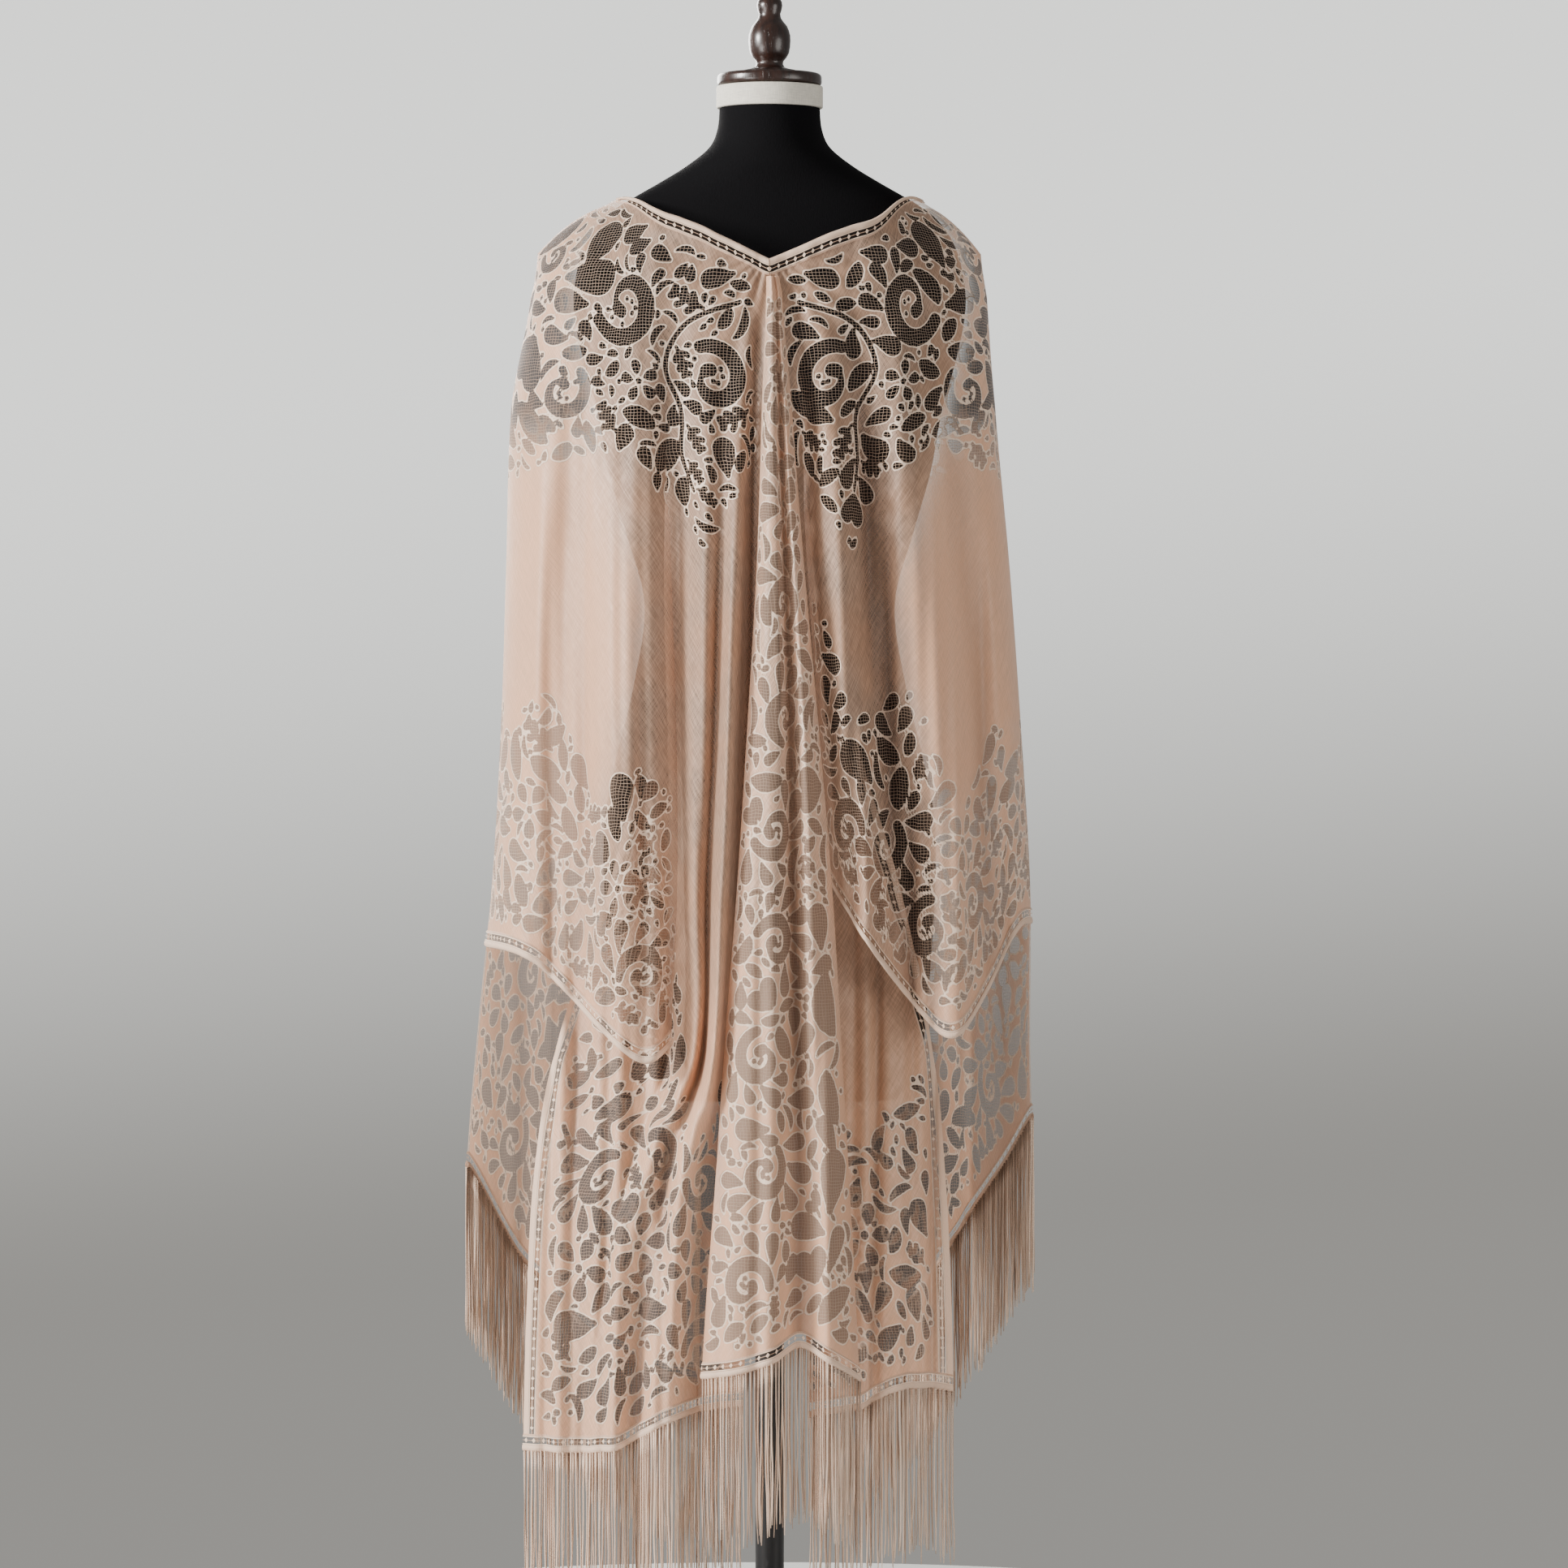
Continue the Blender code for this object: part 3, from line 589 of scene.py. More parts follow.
def creases(x, z):
    """Round folds and creases finer than the tables' folds, in millimetres out of the cloth."""
    low = step_up(1330 - z, 0, 700)
    pleats = np.sin(x / 4.6 + 1.3 * np.sin(z / 210))
    pleats = pleats + 0.75 * np.sin(x / 2.9 + 2.0 + 1.1 * np.sin(z / 150 + 1))
    pleats = np.where(pleats > 0, pleats, 1.5 * pleats)
    turns = np.sin(x / 27 + 0.5 * np.sin(z / 300)), np.sin(x / 18 + 0.5 * np.sin(z / 240 + 2) + 1)
    swell = sum(np.sqrt(turn**2 + 0.02) for turn in turns) - 0.14
    drawn = rays(x, V_POINT - z, 24, 0, 45, 190)
    slung = rays(np.abs(x) - SHOULDER_POINT[0], SHOULDER_POINT[1] - z, 13, 1, 60, 240)
    fine = PLEAT_DEPTH * pleats * (0.12 + low) + SWELL_DEPTH * swell * step_up(1310 - z, 0, 240)
    return fine + DRAWN_DEPTH * drawn + SLUNG_DEPTH * slung


def hang(side, depths, outward):
    """A function that puts cloth behind the shoulder line, or before it, on the side's outline."""
    top = side.sleeve[-1].top
    levels, girths = (float(ridge_line(side, top)), *LEVELS), (top, *side.girth)

    def place(x, z, proud, fallen):
        share = np.minimum(1.0, np.abs(x) / at_height(levels, girths, z))
        around = (1 - share**GIRTH_POWER) ** (1 / GIRTH_POWER)
        over = np.sin(np.minimum(fallen / SHOULDER_ROUNDING, math.pi / 2))
        fine = creases(side.sign * x, z) * over * over * (1 - share**8)
        depth = at_height(DEPTH_LEVELS, depths, z) * around * over + proud + fine + SEAM_HALF_GAP
        return np.stack([side.sign * x, outward * depth, z, proud + fine], axis=-1)

    return place


def cascade_place(x, z, proud, _fallen):
    """Puts the cascade behind the two panels."""
    fine = 0.5 * creases(x, z)
    return np.stack([x, -at_height(DEPTH_LEVELS, BACK_DEPTH, z) - proud - fine, z, proud + fine], axis=-1)


def row_heights(start, hem, ridge, spans, top_band):
    """Heights of a fold's rows, even along the cloth, with a row at each band's inner edge."""
    heights = [start]
    if top_band:
        heights.append(ridge - fall_drop(fall_length(ridge - start) + BAND_WIDTH))
    for end, rows in spans:
        first = fall_length(ridge - heights[-1])
        last = fall_length(ridge - (hem + BAND_WIDTH if end is None else end))
        heights += list(ridge - fall_drop(np.linspace(first, last, rows + 1)[1:]))
    return np.array([*heights, hem], float)


def fold_knots(fold, side, start, spans, top_band, across=None, proud=None):
    """For each row of one fold: its top, the cloth fallen, its distance and how far it stands out."""
    ridge = ridge_line(side, fold.top)
    z = row_heights(start, fold.hem, ridge, spans, top_band)
    levels = (max(start, LEVELS[0] + 1), *LEVELS)
    return np.stack([
        np.full_like(z, fold.top),
        fall_length(ridge - z),
        at_height(levels, (fold.top, *(across or fold.across)), z),
        at_height(LEVELS, proud or fold.proud, z),
    ], axis=1)


def spread(knots, side, place, before=None, after=None):
    """Points between the folds: x, y, z, the height along the cloth and how far they stand out.

    before and after are the next folds beyond the ends, where the cloth goes on.
    """
    t = np.linspace(1, len(knots), (len(knots) - 1) * COLUMNS_PER_FOLD + 1)
    first = knots[0] if before is None else before
    last = knots[-1] if after is None else after
    top, fallen, x, proud = np.moveaxis(smooth([first, *knots, last], t), 2, 0).transpose(0, 2, 1)
    fallen = np.maximum(0.0, fallen)
    ridge = ridge_line(side, top)
    points = place(x, ridge - fall_drop(fallen), proud, fallen)
    height = ridge - fallen + SHOULDER_ROUNDING * (math.pi / 2 - 1)
    return np.stack([*np.moveaxis(points, 2, 0)[:3], height, points[:, :, 3]], axis=-1)


def run_along(line):
    """The distance of each of a line's points from its start."""
    return np.concatenate([[0.0], np.cumsum(np.linalg.norm(np.diff(line[:, :3], axis=0), axis=1))])


def taken_at(at, run, line):
    """A line's points at distances from its start."""
    return np.stack([np.interp(at, run, values) for values in line.T], axis=1)


def evened(points, columns):
    """Moves each row's points to even spacing along it, and adds their distance from its start."""
    made = np.empty((len(points), columns + 1, points.shape[2] + 1))
    for row, line in zip(made, points):
        run = run_along(line)
        row[:, -1] = np.linspace(0, run[-1], columns + 1)
        row[:, :-1] = taken_at(row[:, -1], run, line)
    return made


def painted_fold_shading(grid):
    """Painted shade for the valleys: from 0 on the folds to 1 in the valleys between them, where shade falls.
    """
    proud, reach = grid[:, :, 4], SHADE_REACH_COLUMNS
    total = np.cumsum(np.pad(proud, ((0, 0), (reach // 2, reach // 2 + 1)), "edge"), axis=1)
    return step_up((total[:, reach:] - total[:, :-reach]) / reach - proud, 0.5, 15)


def side_knots(folds, side, neckline, spans):
    """The knots of all folds, which start at the neckline, or beyond its end on the ridge."""
    made = []
    for fold in folds:
        below = fold.top < neckline[-1][0]
        start = straight(neckline, fold.top) if below else ridge_line(side, fold.top)
        made.append(fold_knots(fold, side, start, spans, True))
    return np.array(made)


def rows_of(length, step):
    return round(length / step)


def back_grids(side, step):
    """The back panel's body, sleeve and gusset, each with its distance across the whole panel."""
    place = hang(side, BACK_DEPTH, -1)
    yoke, slit, skirt, sleeve = (
        rows_of(length, step) for length in (YOKE_LENGTH, SLIT_LENGTH, SKIRT_LENGTH, SLEEVE_LENGTH)
    )
    spans = ((SLIT_TOP, yoke), (GUSSET_TOP, slit), (None, skirt))
    body_knots = side_knots(side.body, side, side.neckline, spans)

    # The sleeve parts from the body smoothly at the top of the slit, and shares its edge above it
    spans = ((SLIT_TOP, yoke), (None, sleeve))
    knots = side_knots(side.sleeve, side, side.neckline, spans)
    shared = side.body[-1]
    start = straight(side.neckline, shared.top)
    joined = fold_knots(side.sleeve[0], side, start, spans, True, shared.across, shared.proud)
    height = ridge_line(side, shared.top) - fall_drop(knots[0][:, 1:2])
    knots[0] = joined + (knots[0] - joined) * step_up(SLIT_TOP - height, 0, SLIT_BLEND)
    shared_rows = yoke + 2
    bound = step_up(height[:shared_rows] - SLIT_TOP, 0, SLIT_BLEND)
    before, after = knots[0].copy(), body_knots[-1].copy()
    before[:shared_rows] += (body_knots[-2, :shared_rows] - before[:shared_rows]) * bound
    after[:shared_rows] += (knots[1, :shared_rows] - after[:shared_rows]) * bound
    grids = [spread(body_knots, side, place, after=after), spread(knots, side, place, before=before)]

    knots = np.array([fold_knots(fold, side, GUSSET_TOP, ((None, skirt),), False) for fold in side.gusset])
    grids.append(spread(knots, side, place))

    scale = MESH_OF_COLUMNS / step
    body, sleeve, gusset = (evened(grid, round(n * scale)) for grid, n in zip(grids, side.columns))
    body[body[:, 0, 2] > LEVELS[0] + 5, 0, 0] = 0
    reach = body[:, -1, -1]
    sleeve[:, :, -1] += reach[np.minimum(np.arange(len(sleeve)), yoke + 1)][:, None]
    gusset[:, :, -1] += reach[yoke + slit + 1:][:, None]
    return body, sleeve, gusset


def front_grid(side, step):
    """The front panel, from its outer edge to its inner one."""
    spans = ((None, rows_of(FRONT_LENGTH, step)),)
    knots = side_knots(side.front, side, side.front_neckline, spans)
    return evened(spread(knots, side, hang(side, FRONT_DEPTH, 1)), rows_of(FRONT_WIDTH, step))


def cascade_grid(step):
    """The cascade, from its left edge to its right one."""
    spans = ((None, rows_of(CASCADE_LENGTH, step)),)
    knots = np.array([fold_knots(fold, RIGHT, CASCADE_TOP, spans, True) for fold in CASCADE])
    return evened(spread(knots, RIGHT, cascade_place), rows_of(CASCADE_WIDTH, step))


def ahead(angle, length):
    """A step of a length along an angle."""
    return length * np.array([math.cos(angle), math.sin(angle)])


def bearing(start, end):
    """The angle from one point to another."""
    return math.atan2(*(end - start)[::-1])


def curve_line(start, angle, length, bend, count=7):
    """Points on a curve that sets out at an angle and turns by bend along its length."""
    heading = angle + bend * np.linspace(0, 1, count)
    steps = np.stack([np.cos(heading), np.sin(heading)], axis=1) * length / (count - 1)
    return np.asarray(start, float) + np.concatenate([[[0, 0]], np.cumsum(steps[:-1], axis=0)])


def stroke(points, radii):
    return np.column_stack([points, radii])


def leaf(start, angle, length, width, bend=0.5):
    """A leaf, pointed at both ends."""
    t = np.linspace(0, 1, 8)
    radii = width / 2 * np.sin(math.pi * (0.05 + 0.9 * t)) ** 0.85
    return [stroke(curve_line(start, angle, length, bend, 8), radii)]


def petal(start, angle, length, width, bend=0.2):
    """A petal, narrow at its foot and round at its tip."""
    t = np.linspace(0, 1, 7)
    radii = width / 2 * (0.22 + 0.78 * np.sin(t * math.pi / 2) ** 1.3)
    return [stroke(curve_line(start, angle, length - width / 2, bend), radii)]


def heart(start, angle, length, width):
    """Two petals that spread from one foot."""
    made = []
    for turn in (-0.42, 0.42):
        foot = np.asarray(start) + ahead(angle + turn * 3, 2.6)
        made += petal(foot, angle + turn, length, width * 0.62, -turn * 0.5)
    return made


def blossom(centre, angle, radius, petals=5):
    """Petals round a small eye."""
    made = [stroke([centre, centre], [radius * 0.14, radius * 0.14])]
    for k in range(petals):
        turn = angle + 2 * math.pi * k / petals
        foot = np.asarray(centre) + ahead(turn, radius * 0.36)
        made += petal(foot, turn, radius * 0.68, radius * 0.52)
    return made


def scroll(centre, radius, angle, turn, width):
    """A spiral that narrows inwards to a round end, with small drops along its inside."""
    t = np.linspace(0, 1, 34)
    heading = angle + turn * t
    reach = radius * (1 - 0.74 * t)
    points = np.asarray(centre) + reach[:, None] * np.stack([np.cos(heading), np.sin(heading)], axis=1)
    radii = width / 2 * (0.35 + 0.65 * np.sin(math.pi * np.minimum(1, 0.12 + 1.15 * t)) ** 0.7)
    radii[-4:] = width * 0.36
    made = [stroke(points, np.maximum(radii, STEM_RADIUS))]
    for k in (9, 14, 19):
        inner = np.asarray(centre) + ahead(heading[k], reach[k] - width * 0.95)
        made.append(stroke([inner, inner], [2.4, 2.4]))
    return made


def frond(start, angle, length, width):
    """A cut leaf: a spine with lobes to both sides."""
    spine = curve_line(start, angle, length, 0.3, 7)
    made = [stroke(spine, width * np.array([0.07, 0.1, 0.12, 0.12, 0.1, 0.08, 0.06]))]
    for place, share in ((1, 0.42), (3, 0.4), (5, 0.27)):
        way = bearing(spine[place - 1], spine[place])
        for lean in (-1, 1):
            made += petal(spine[place], way + lean * 1.05, length * share, width * 0.26, -lean * 0.6)
    return made


def vine(points, radius=2.2):
    """A long stem through a few points."""
    line = smooth(points, np.linspace(0, len(points) - 1, 8 * len(points)))
    return [stroke(line, np.linspace(radius, 0.75 * radius, len(line)))]


class LaceMap:
    """The distance to the nearest edge of a lace motif, negative inside one, over a flat panel."""

    def __init__(self, low, high, zone):
        self.low = np.asarray(low, float)
        self.high = np.asarray(high, float)
        self.zone = zone
        size = np.ceil((self.high - self.low) / LACE_CELL).astype(int) + 2
        self.far = np.full(size, LACE_REACH)

    def at(self, across, along):
        """The map's value at places on the panel."""
        u = np.clip((across - self.low[0]) / LACE_CELL, 0, self.far.shape[0] - 1.001)
        v = np.clip((along - self.low[1]) / LACE_CELL, 0, self.far.shape[1] - 1.001)
        i, j = u.astype(int), v.astype(int)
        a, b = u - i, v - j
        left = self.far[i, j] * (1 - b) + self.far[i, j + 1] * b
        right = self.far[i + 1, j] * (1 - b) + self.far[i + 1, j + 1] * b
        return left * (1 - a) + right * a

    def fits(self, strokes):
        """Whether the strokes lie in the zone and clear of what is there."""
        for line in strokes:
            if not np.all(self.zone(line[:, 0], line[:, 1], line[:, 2])):
                return False
            reach = np.minimum(LACE_REACH - 0.1, line[:, 2] + LACE_GAP)
            if np.any(self.at(line[:, 0], line[:, 1]) < reach):
                return False
        return True

    def add(self, strokes):
        for line in strokes:
            reach = line[:, 2].max() + LACE_REACH
            first = np.maximum(0, ((line[:, :2].min(0) - reach - self.low) / LACE_CELL).astype(int))
            last = ((line[:, :2].max(0) + reach - self.low) / LACE_CELL).astype(int) + 2
            window = self.far[first[0]:last[0], first[1]:last[1]]
            u = self.low[0] + LACE_CELL * (first[0] + np.arange(window.shape[0]))[:, None]
            v = self.low[1] + LACE_CELL * (first[1] + np.arange(window.shape[1]))[None, :]
            for (x0, y0, r0), (x1, y1, r1) in zip(line, line[1:]):
                run = max(1e-6, (x1 - x0) ** 2 + (y1 - y0) ** 2)
                t = np.clip(((u - x0) * (x1 - x0) + (v - y0) * (y1 - y0)) / run, 0, 1)
                off = np.hypot(u - x0 - t * (x1 - x0), v - y0 - t * (y1 - y0)) - r0 - t * (r1 - r0)
                np.minimum(window, off, out=window)

    def try_add(self, strokes):
        """Adds strokes that belong together, if they fit."""
        if self.fits(strokes):
            self.add(strokes)
            return True
        return False

    def clothe(self, points, draws, leaf_size):
        """Adds a vine through the points, and then leaves along both its sides."""
        stem = vine(points)[0]
        self.try_add([stem])
        for k in range(2, len(stem) - 1, 4):
            way = bearing(stem[k, :2], stem[k + 1, :2])
            for lean in (-1, 1):
                foot = stem[k, :2] + ahead(way + lean * 1.4, 5.6)
                size = leaf_size * (0.65 + 0.6 * draws.random())
                turn = way + lean * (0.6 + 0.5 * draws.random())
                if draws.random() < 0.3:
                    self.try_add(frond(foot, turn, size * 1.2, size * 0.8))
                kind = leaf if draws.random() < 0.4 else petal
                self.try_add(kind(foot, turn, size, size * 0.6, -lean * 0.5))
        way = bearing(stem[-3, :2], stem[-1, :2])
        self.try_add(heart(stem[-1, :2] + ahead(way, 4.5), way, leaf_size, leaf_size))

    def spray(self, centre, radius, angle, turn, width, draws):
        """Adds a scroll, and leaves that lean along its outside."""
        self.try_add(scroll(centre, radius, angle, turn, width))
        for t in np.arange(0.02, 0.6, 0.09):
            heading = angle + turn * t
            reach = radius * (1 - 0.74 * t) + width * 0.5 + 3.4
            foot = np.asarray(centre) + ahead(heading, reach)
            size = 18 + 14 * draws.random()
            self.try_add(petal(foot, heading + math.copysign(0.75, turn), size, size * 0.58, 0.3))

    def fill(self, draws, sizes):
        """Fills the room that is left with smaller and smaller motifs. sizes holds (size, tries)."""
        for size, tries in sizes:
            places = self.low + draws.random((tries, 2)) * (self.high - self.low)
            for place in places:
                way = 1.7 * math.sin(place[0] / 55) + 1.9 * math.cos(place[1] / 63) + draws.normal(0, 0.7)
                pick = draws.random()
                length = size * (0.8 + 0.4 * draws.random())
                if size < 6:
                    self.try_add([stroke([place, place], [size / 2, size / 2])])
                elif size > 24 and pick < 0.45:
                    self.try_add(frond(place, way, length * 1.25, length * 0.8))
                elif size > 34 and pick < 0.6:
                    self.try_add(blossom(place, way, length * 0.6))
                elif size > 12 and pick < 0.55:
                    self.try_add(leaf(place, way, length * 1.6, length * 0.4, draws.choice((-1.4, 1.4))))
                elif pick < 0.68:
                    self.try_add(petal(place, way, length, length * 0.62))
                elif pick < 0.78:
                    self.try_add(heart(place, way, length * 0.8, length * 0.85))
                else:
                    self.try_add(leaf(place, way, length, length * 0.5, draws.normal(0, 0.8)))


def lace_map(start, end, span, zone):
    """An empty map between two distances across, over a span of heights."""
    return LaceMap((start, span[0]), (end + MAP_MARGIN, span[1]), zone)


def yoke_lace(made, draws):
    """The scrolls, blossoms, large petals and vines below the neckline."""
    for row in YOKE_SCROLLS:
        made.try_add(scroll(*row))
    for u, v, angle, length, width in YOKE_PETALS:
        made.try_add(petal((u, v), angle, length, width))
    for u, v, turn, radius in YOKE_BLOSSOMS:
        made.try_add(blossom((u, v), turn, radius))
    for points in YOKE_VINES:
        made.clothe(points, draws, YOKE_LEAF)
    for row in YOKE_SCROLLS[:-1]:
        made.spray(*row, draws)


def hem_lace(made, feet, motifs, vines, draws):
    """Tall sprays of scrolls and blossoms over each foot along a hem, and then vines between them."""
    for k, (u, base) in enumerate(feet):
        for motif in motifs:
            place = (u + motif.across, base * motif.hem + motif.up + motif.odd * (k % 2))
            if motif.kind == "spray":
                made.spray(place, motif.size, motif.spin * k, motif.turn * (-1) ** k, motif.width, draws)
            else:
                made.try_add(blossom(place, motif.spin * k, motif.size))
    for k, (u, base) in enumerate(feet):
        for line in vines:
            points = [(u + across + lean * (-1) ** k, base * hem + up) for across, lean, hem, up in line]
            made.clothe(points, draws, VINE_LEAF)


def back_lace(side, grids):
    """The lace of a whole back panel: a yoke, the sleeve's end and the long lower part."""
    draws = np.random.default_rng(side.seeds[0])
    body, sleeve, gusset = grids
    wide = max(grid[:, :, -1].max() for grid in grids)
    neck_u = body[0, -1, -1] + sleeve[0, :, -1] - sleeve[0, 0, -1]
    edge_u = np.concatenate([body[0, :, -1], neck_u])
    edge_v = np.concatenate([body[0, :, 3], sleeve[0, :, 3]])

    def outer(v):
        return np.interp(v, sleeve[::-1, -1, 3], sleeve[::-1, -1, -1]) - 5

    def in_yoke(u, v, r):
        above = np.interp(u, edge_u, edge_v) - NECK_ROOM
        return (v + r < above) & (v - r > straight(YOKE_DROPS, u)) & (u > 12 + r) & (u + r < outer(v))

    yoke = lace_map(0, wide, YOKE_SPAN, in_yoke)
    yoke_lace(yoke, draws)
    yoke.fill(draws, FILLING)

    order = np.argsort(sleeve[-1, :, -1])
    hem_u, hem_v = sleeve[-1, order, -1], sleeve[-1, order, 3]

    def in_sleeve(u, v, r):
        above = v - np.interp(u, hem_u, hem_v)
        tall = above + r < 250 + 34 * np.sin(u / 21)
        return (above - r > HEM_ROOM) & tall & (u > hem_u.min() + r + 3) & (u + r < outer(v))

    cuff = lace_map(hem_u.min() - MAP_MARGIN, hem_u.max(), CUFF_SPAN, in_sleeve)
    places = np.arange(hem_u.min() + 44, hem_u.max() - 20, CUFF_PITCH)
    feet = [(u, float(np.interp(u, hem_u, hem_v))) for u in places]
    hem_lace(cuff, feet, CUFF_MOTIFS, CUFF_VINES, draws)
    cuff.fill(draws, FILLING)

    foot_u, foot_v = (np.concatenate([body[-1, :, n], gusset[-1, :, n]]) for n in (-1, 3))

    def in_skirt(u, v, r):
        above = v - np.interp(u, foot_u, foot_v)
        edge = np.interp(v, gusset[::-1, -1, 3], gusset[::-1, -1, -1])
        top = straight(CROWN, u) + 18 * np.sin(u / 13)
        return (above - r > HEM_ROOM) & (v + r < top) & (u > r + 4) & (u + r < edge - EDGE_ROOM)

    skirt = lace_map(0, wide, SKIRT_SPAN, in_skirt)
    count = int(foot_u.max() / SKIRT_PITCH) + 1
    feet = [(FIRST_FOOT + SKIRT_PITCH * k, float(foot_v.mean())) for k in range(count)]
    hem_lace(skirt, feet, SKIRT_MOTIFS, SKIRT_VINES, draws)
    skirt.fill(draws, FILLING)

    def look_up(grid, below, crown):
        u, v = grid[:, :, -1], grid[:, :, 3]
        return np.minimum(np.where(v > YOKE_FOOT, yoke.at(u, v), LACE_REACH),
                          np.where(v <= crown, below.at(u, v), LACE_REACH))

    below = (skirt, SKIRT_CROWN), (cuff, YOKE_FOOT), (skirt, SKIRT_CROWN)
    return [look_up(grid, *row) for grid, row in zip(grids, below)]


def front_lace(side, grid):
    """The lace of a front panel: below the shoulder and over its lower half."""
    draws = np.random.default_rng(side.seeds[1])
    u, v = grid[:, :, -1], grid[:, :, 3]
    hem_u, hem_v = u[-1], v[-1]

    def in_front(a, b, r):
        above = b - np.interp(a, hem_u, hem_v)
        wide = np.interp(b, v[::-1, -1], u[::-1, -1])
        low = (above - r > HEM_ROOM) & (above + r < 400 + 30 * np.sin(a / 24))
        high = (b - r > 1150 + 26 * np.sin(a / 30)) & (b + r < np.interp(a, u[0], v[0]) - HEM_ROOM)
        return (low | high) & (a > r + EDGE_ROOM) & (a + r < wide - EDGE_ROOM)

    made = lace_map(0, u.max(), FRONT_SPAN, in_front)
    places = [FIRST_FOOT + FRONT_PITCH * k for k in range(FRONT_FEET)]
    feet = [(place, float(np.interp(place, hem_u, hem_v))) for place in places]
    hem_lace(made, feet, FRONT_MOTIFS, FRONT_VINES, draws)
    made.fill(draws, FULLER)
    return made.at(u, v)


def cascade_lace(grid):
    """The lace of the cascade, all the way down."""
    draws = np.random.default_rng(CASCADE_SEED)
    u, v = grid[:, :, -1], grid[:, :, 3]

    def in_cascade(a, b, r):
        wide = np.interp(b, v[::-1, 0], u[::-1, -1])
        foot = np.interp(a, u[-1], v[-1])
        tall = b + r < v[0].min() - 20
        return (b - r > foot + HEM_ROOM) & tall & (a > r + 1.5) & (a + r < wide - 1.5)

    made = lace_map(0, u.max(), CASCADE_SPAN, in_cascade)
    bases = [CASCADE_FOOT + CASCADE_PITCH * k for k in range(CASCADE_MOTIFS)]
    for k, base in enumerate(bases):
        made.spray((46 + 10 * (k % 2), base + 30), 26, 0.9 * k, 6.4 * (-1) ** k, 14, draws)
        made.try_add(blossom((110 + 16 * (k % 3), base + 4), 0.3 * k, 28))
        made.try_add(petal((150, base + 44), 1.2 + 0.8 * (k % 2), 44, 20))
    for base in bases:
        vine_points = (20, base - 30), (84, base - 6), (90, base + 44), (60, base + 76)
        made.clothe(vine_points, draws, CASCADE_LEAF)
    made.fill(draws, FULLER)
    return made.at(u, v)


class Nodes:
    """The nodes of one material or world."""

    def __init__(self, owner, shader="Principled BSDF"):
        self.owner = owner
        self.owner.use_nodes = True
        self.tree = self.owner.node_tree
        self.shader = self.tree.nodes[shader]

    def put(self, socket, value):
        """Links a value made by nodes to a socket, or sets a plain one on it."""
        if isinstance(value, Value):
            self.tree.links.new(value.socket, socket)
        else:
            socket.default_value = value

    def add(self, kind, settings=None, inputs=None, output=0):
        """Adds any node: its settings first, then the values or links of its sockets."""
        node = self.tree.nodes.new(kind)
        for name, value in (settings or {}).items():
            setattr(node, name, value)
        for name, value in (inputs or {}).items():
            self.put(node.inputs[name], value)
        return Value(self, node.outputs[output])

    def math(self, operation, *values):
        return self.add("ShaderNodeMath", {"operation": operation}, dict(enumerate(values)))

    def attribute(self, name, output="Fac"):
        return self.add("ShaderNodeAttribute", {"attribute_name": name}, output=output)

    def mix(self, share, first, second):
        """A colour between two, by share."""
        inputs = {0: share, 6: first, 7: second}
        return self.add("ShaderNodeMix", {"data_type": "RGBA"}, inputs, 2)

    def rise(self, value, low, high):
        """From 0 at low to 1 at high, smoothly."""
        inputs = {"Value": value, "From Min": low, "From Max": high}
        return self.add("ShaderNodeMapRange", {"interpolation_type": "SMOOTHSTEP"}, inputs)

    def noise(self, place, scale, detail=3.0, roughness=0.55):
        inputs = {"Vector": place, "Scale": scale, "Detail": detail, "Roughness": roughness}
        return self.add("ShaderNodeTexNoise", {"noise_dimensions": "3D"}, inputs)

    def stretched(self, place, turn, scale):
        """A place turned about Z and then stretched."""
        inputs = {"Vector": place, "Rotation": (0, 0, turn), "Scale": [1 / s for s in scale]}
        return self.add("ShaderNodeMapping", {"vector_type": "TEXTURE"}, inputs)

    def bump(self, height, distance, strength=1.0):
        inputs = {"Height": height, "Distance": distance, "Strength": strength}
        return self.add("ShaderNodeBump", None, inputs)

    def finish(self, fixed, **varied):
        """Sets the shader's fixed sockets, and feeds the varied ones."""
        for name, value in fixed.items():
            self.shader.inputs[name].default_value = value
        for name, value in varied.items():
            self.put(self.shader.inputs[name.replace("_", " ")], value)
        return self.owner

    def let_through(self, glow, base, alpha, normal):
        """Lets a share of the light through the cloth, and keeps its openings open."""
        through = self.add("ShaderNodeBsdfTranslucent", None, {"Color": base, "Normal": normal})
        inputs = {0: alpha * glow, 1: Value(self, self.shader.outputs[0]), 2: through}
        mixed = self.add("ShaderNodeMixShader", None, inputs)
        self.tree.links.new(mixed.socket, self.tree.nodes["Material Output"].inputs["Surface"])
        return alpha * (1 - glow) / (1 - alpha * glow)


class Value:
    """A socket's value. Python's operators on it add Math nodes."""

    def __init__(self, nodes, socket):
        self.nodes = nodes
        self.socket = socket

    def __add__(self, other):
        return self.nodes.math("ADD", self, other)

    def __radd__(self, other):
        return self.nodes.math("ADD", other, self)

    def __sub__(self, other):
        return self.nodes.math("SUBTRACT", self, other)

    def __rsub__(self, other):
        return self.nodes.math("SUBTRACT", other, self)

    def __mul__(self, other):
        return self.nodes.math("MULTIPLY", self, other)

    def __rmul__(self, other):
        return self.nodes.math("MULTIPLY", other, self)

    def __truediv__(self, other):
        return self.nodes.math("DIVIDE", self, other)

    def __abs__(self):
        return self.nodes.math("ABSOLUTE", self)

    def most(self, other):
        return self.nodes.math("MAXIMUM", self, other)

    def least(self, other):
        return self.nodes.math("MINIMUM", self, other)

    def nearest(self, pitch):
        """The distance to the nearest multiple of pitch."""
        return self.nodes.math("PINGPONG", self, pitch / 2)


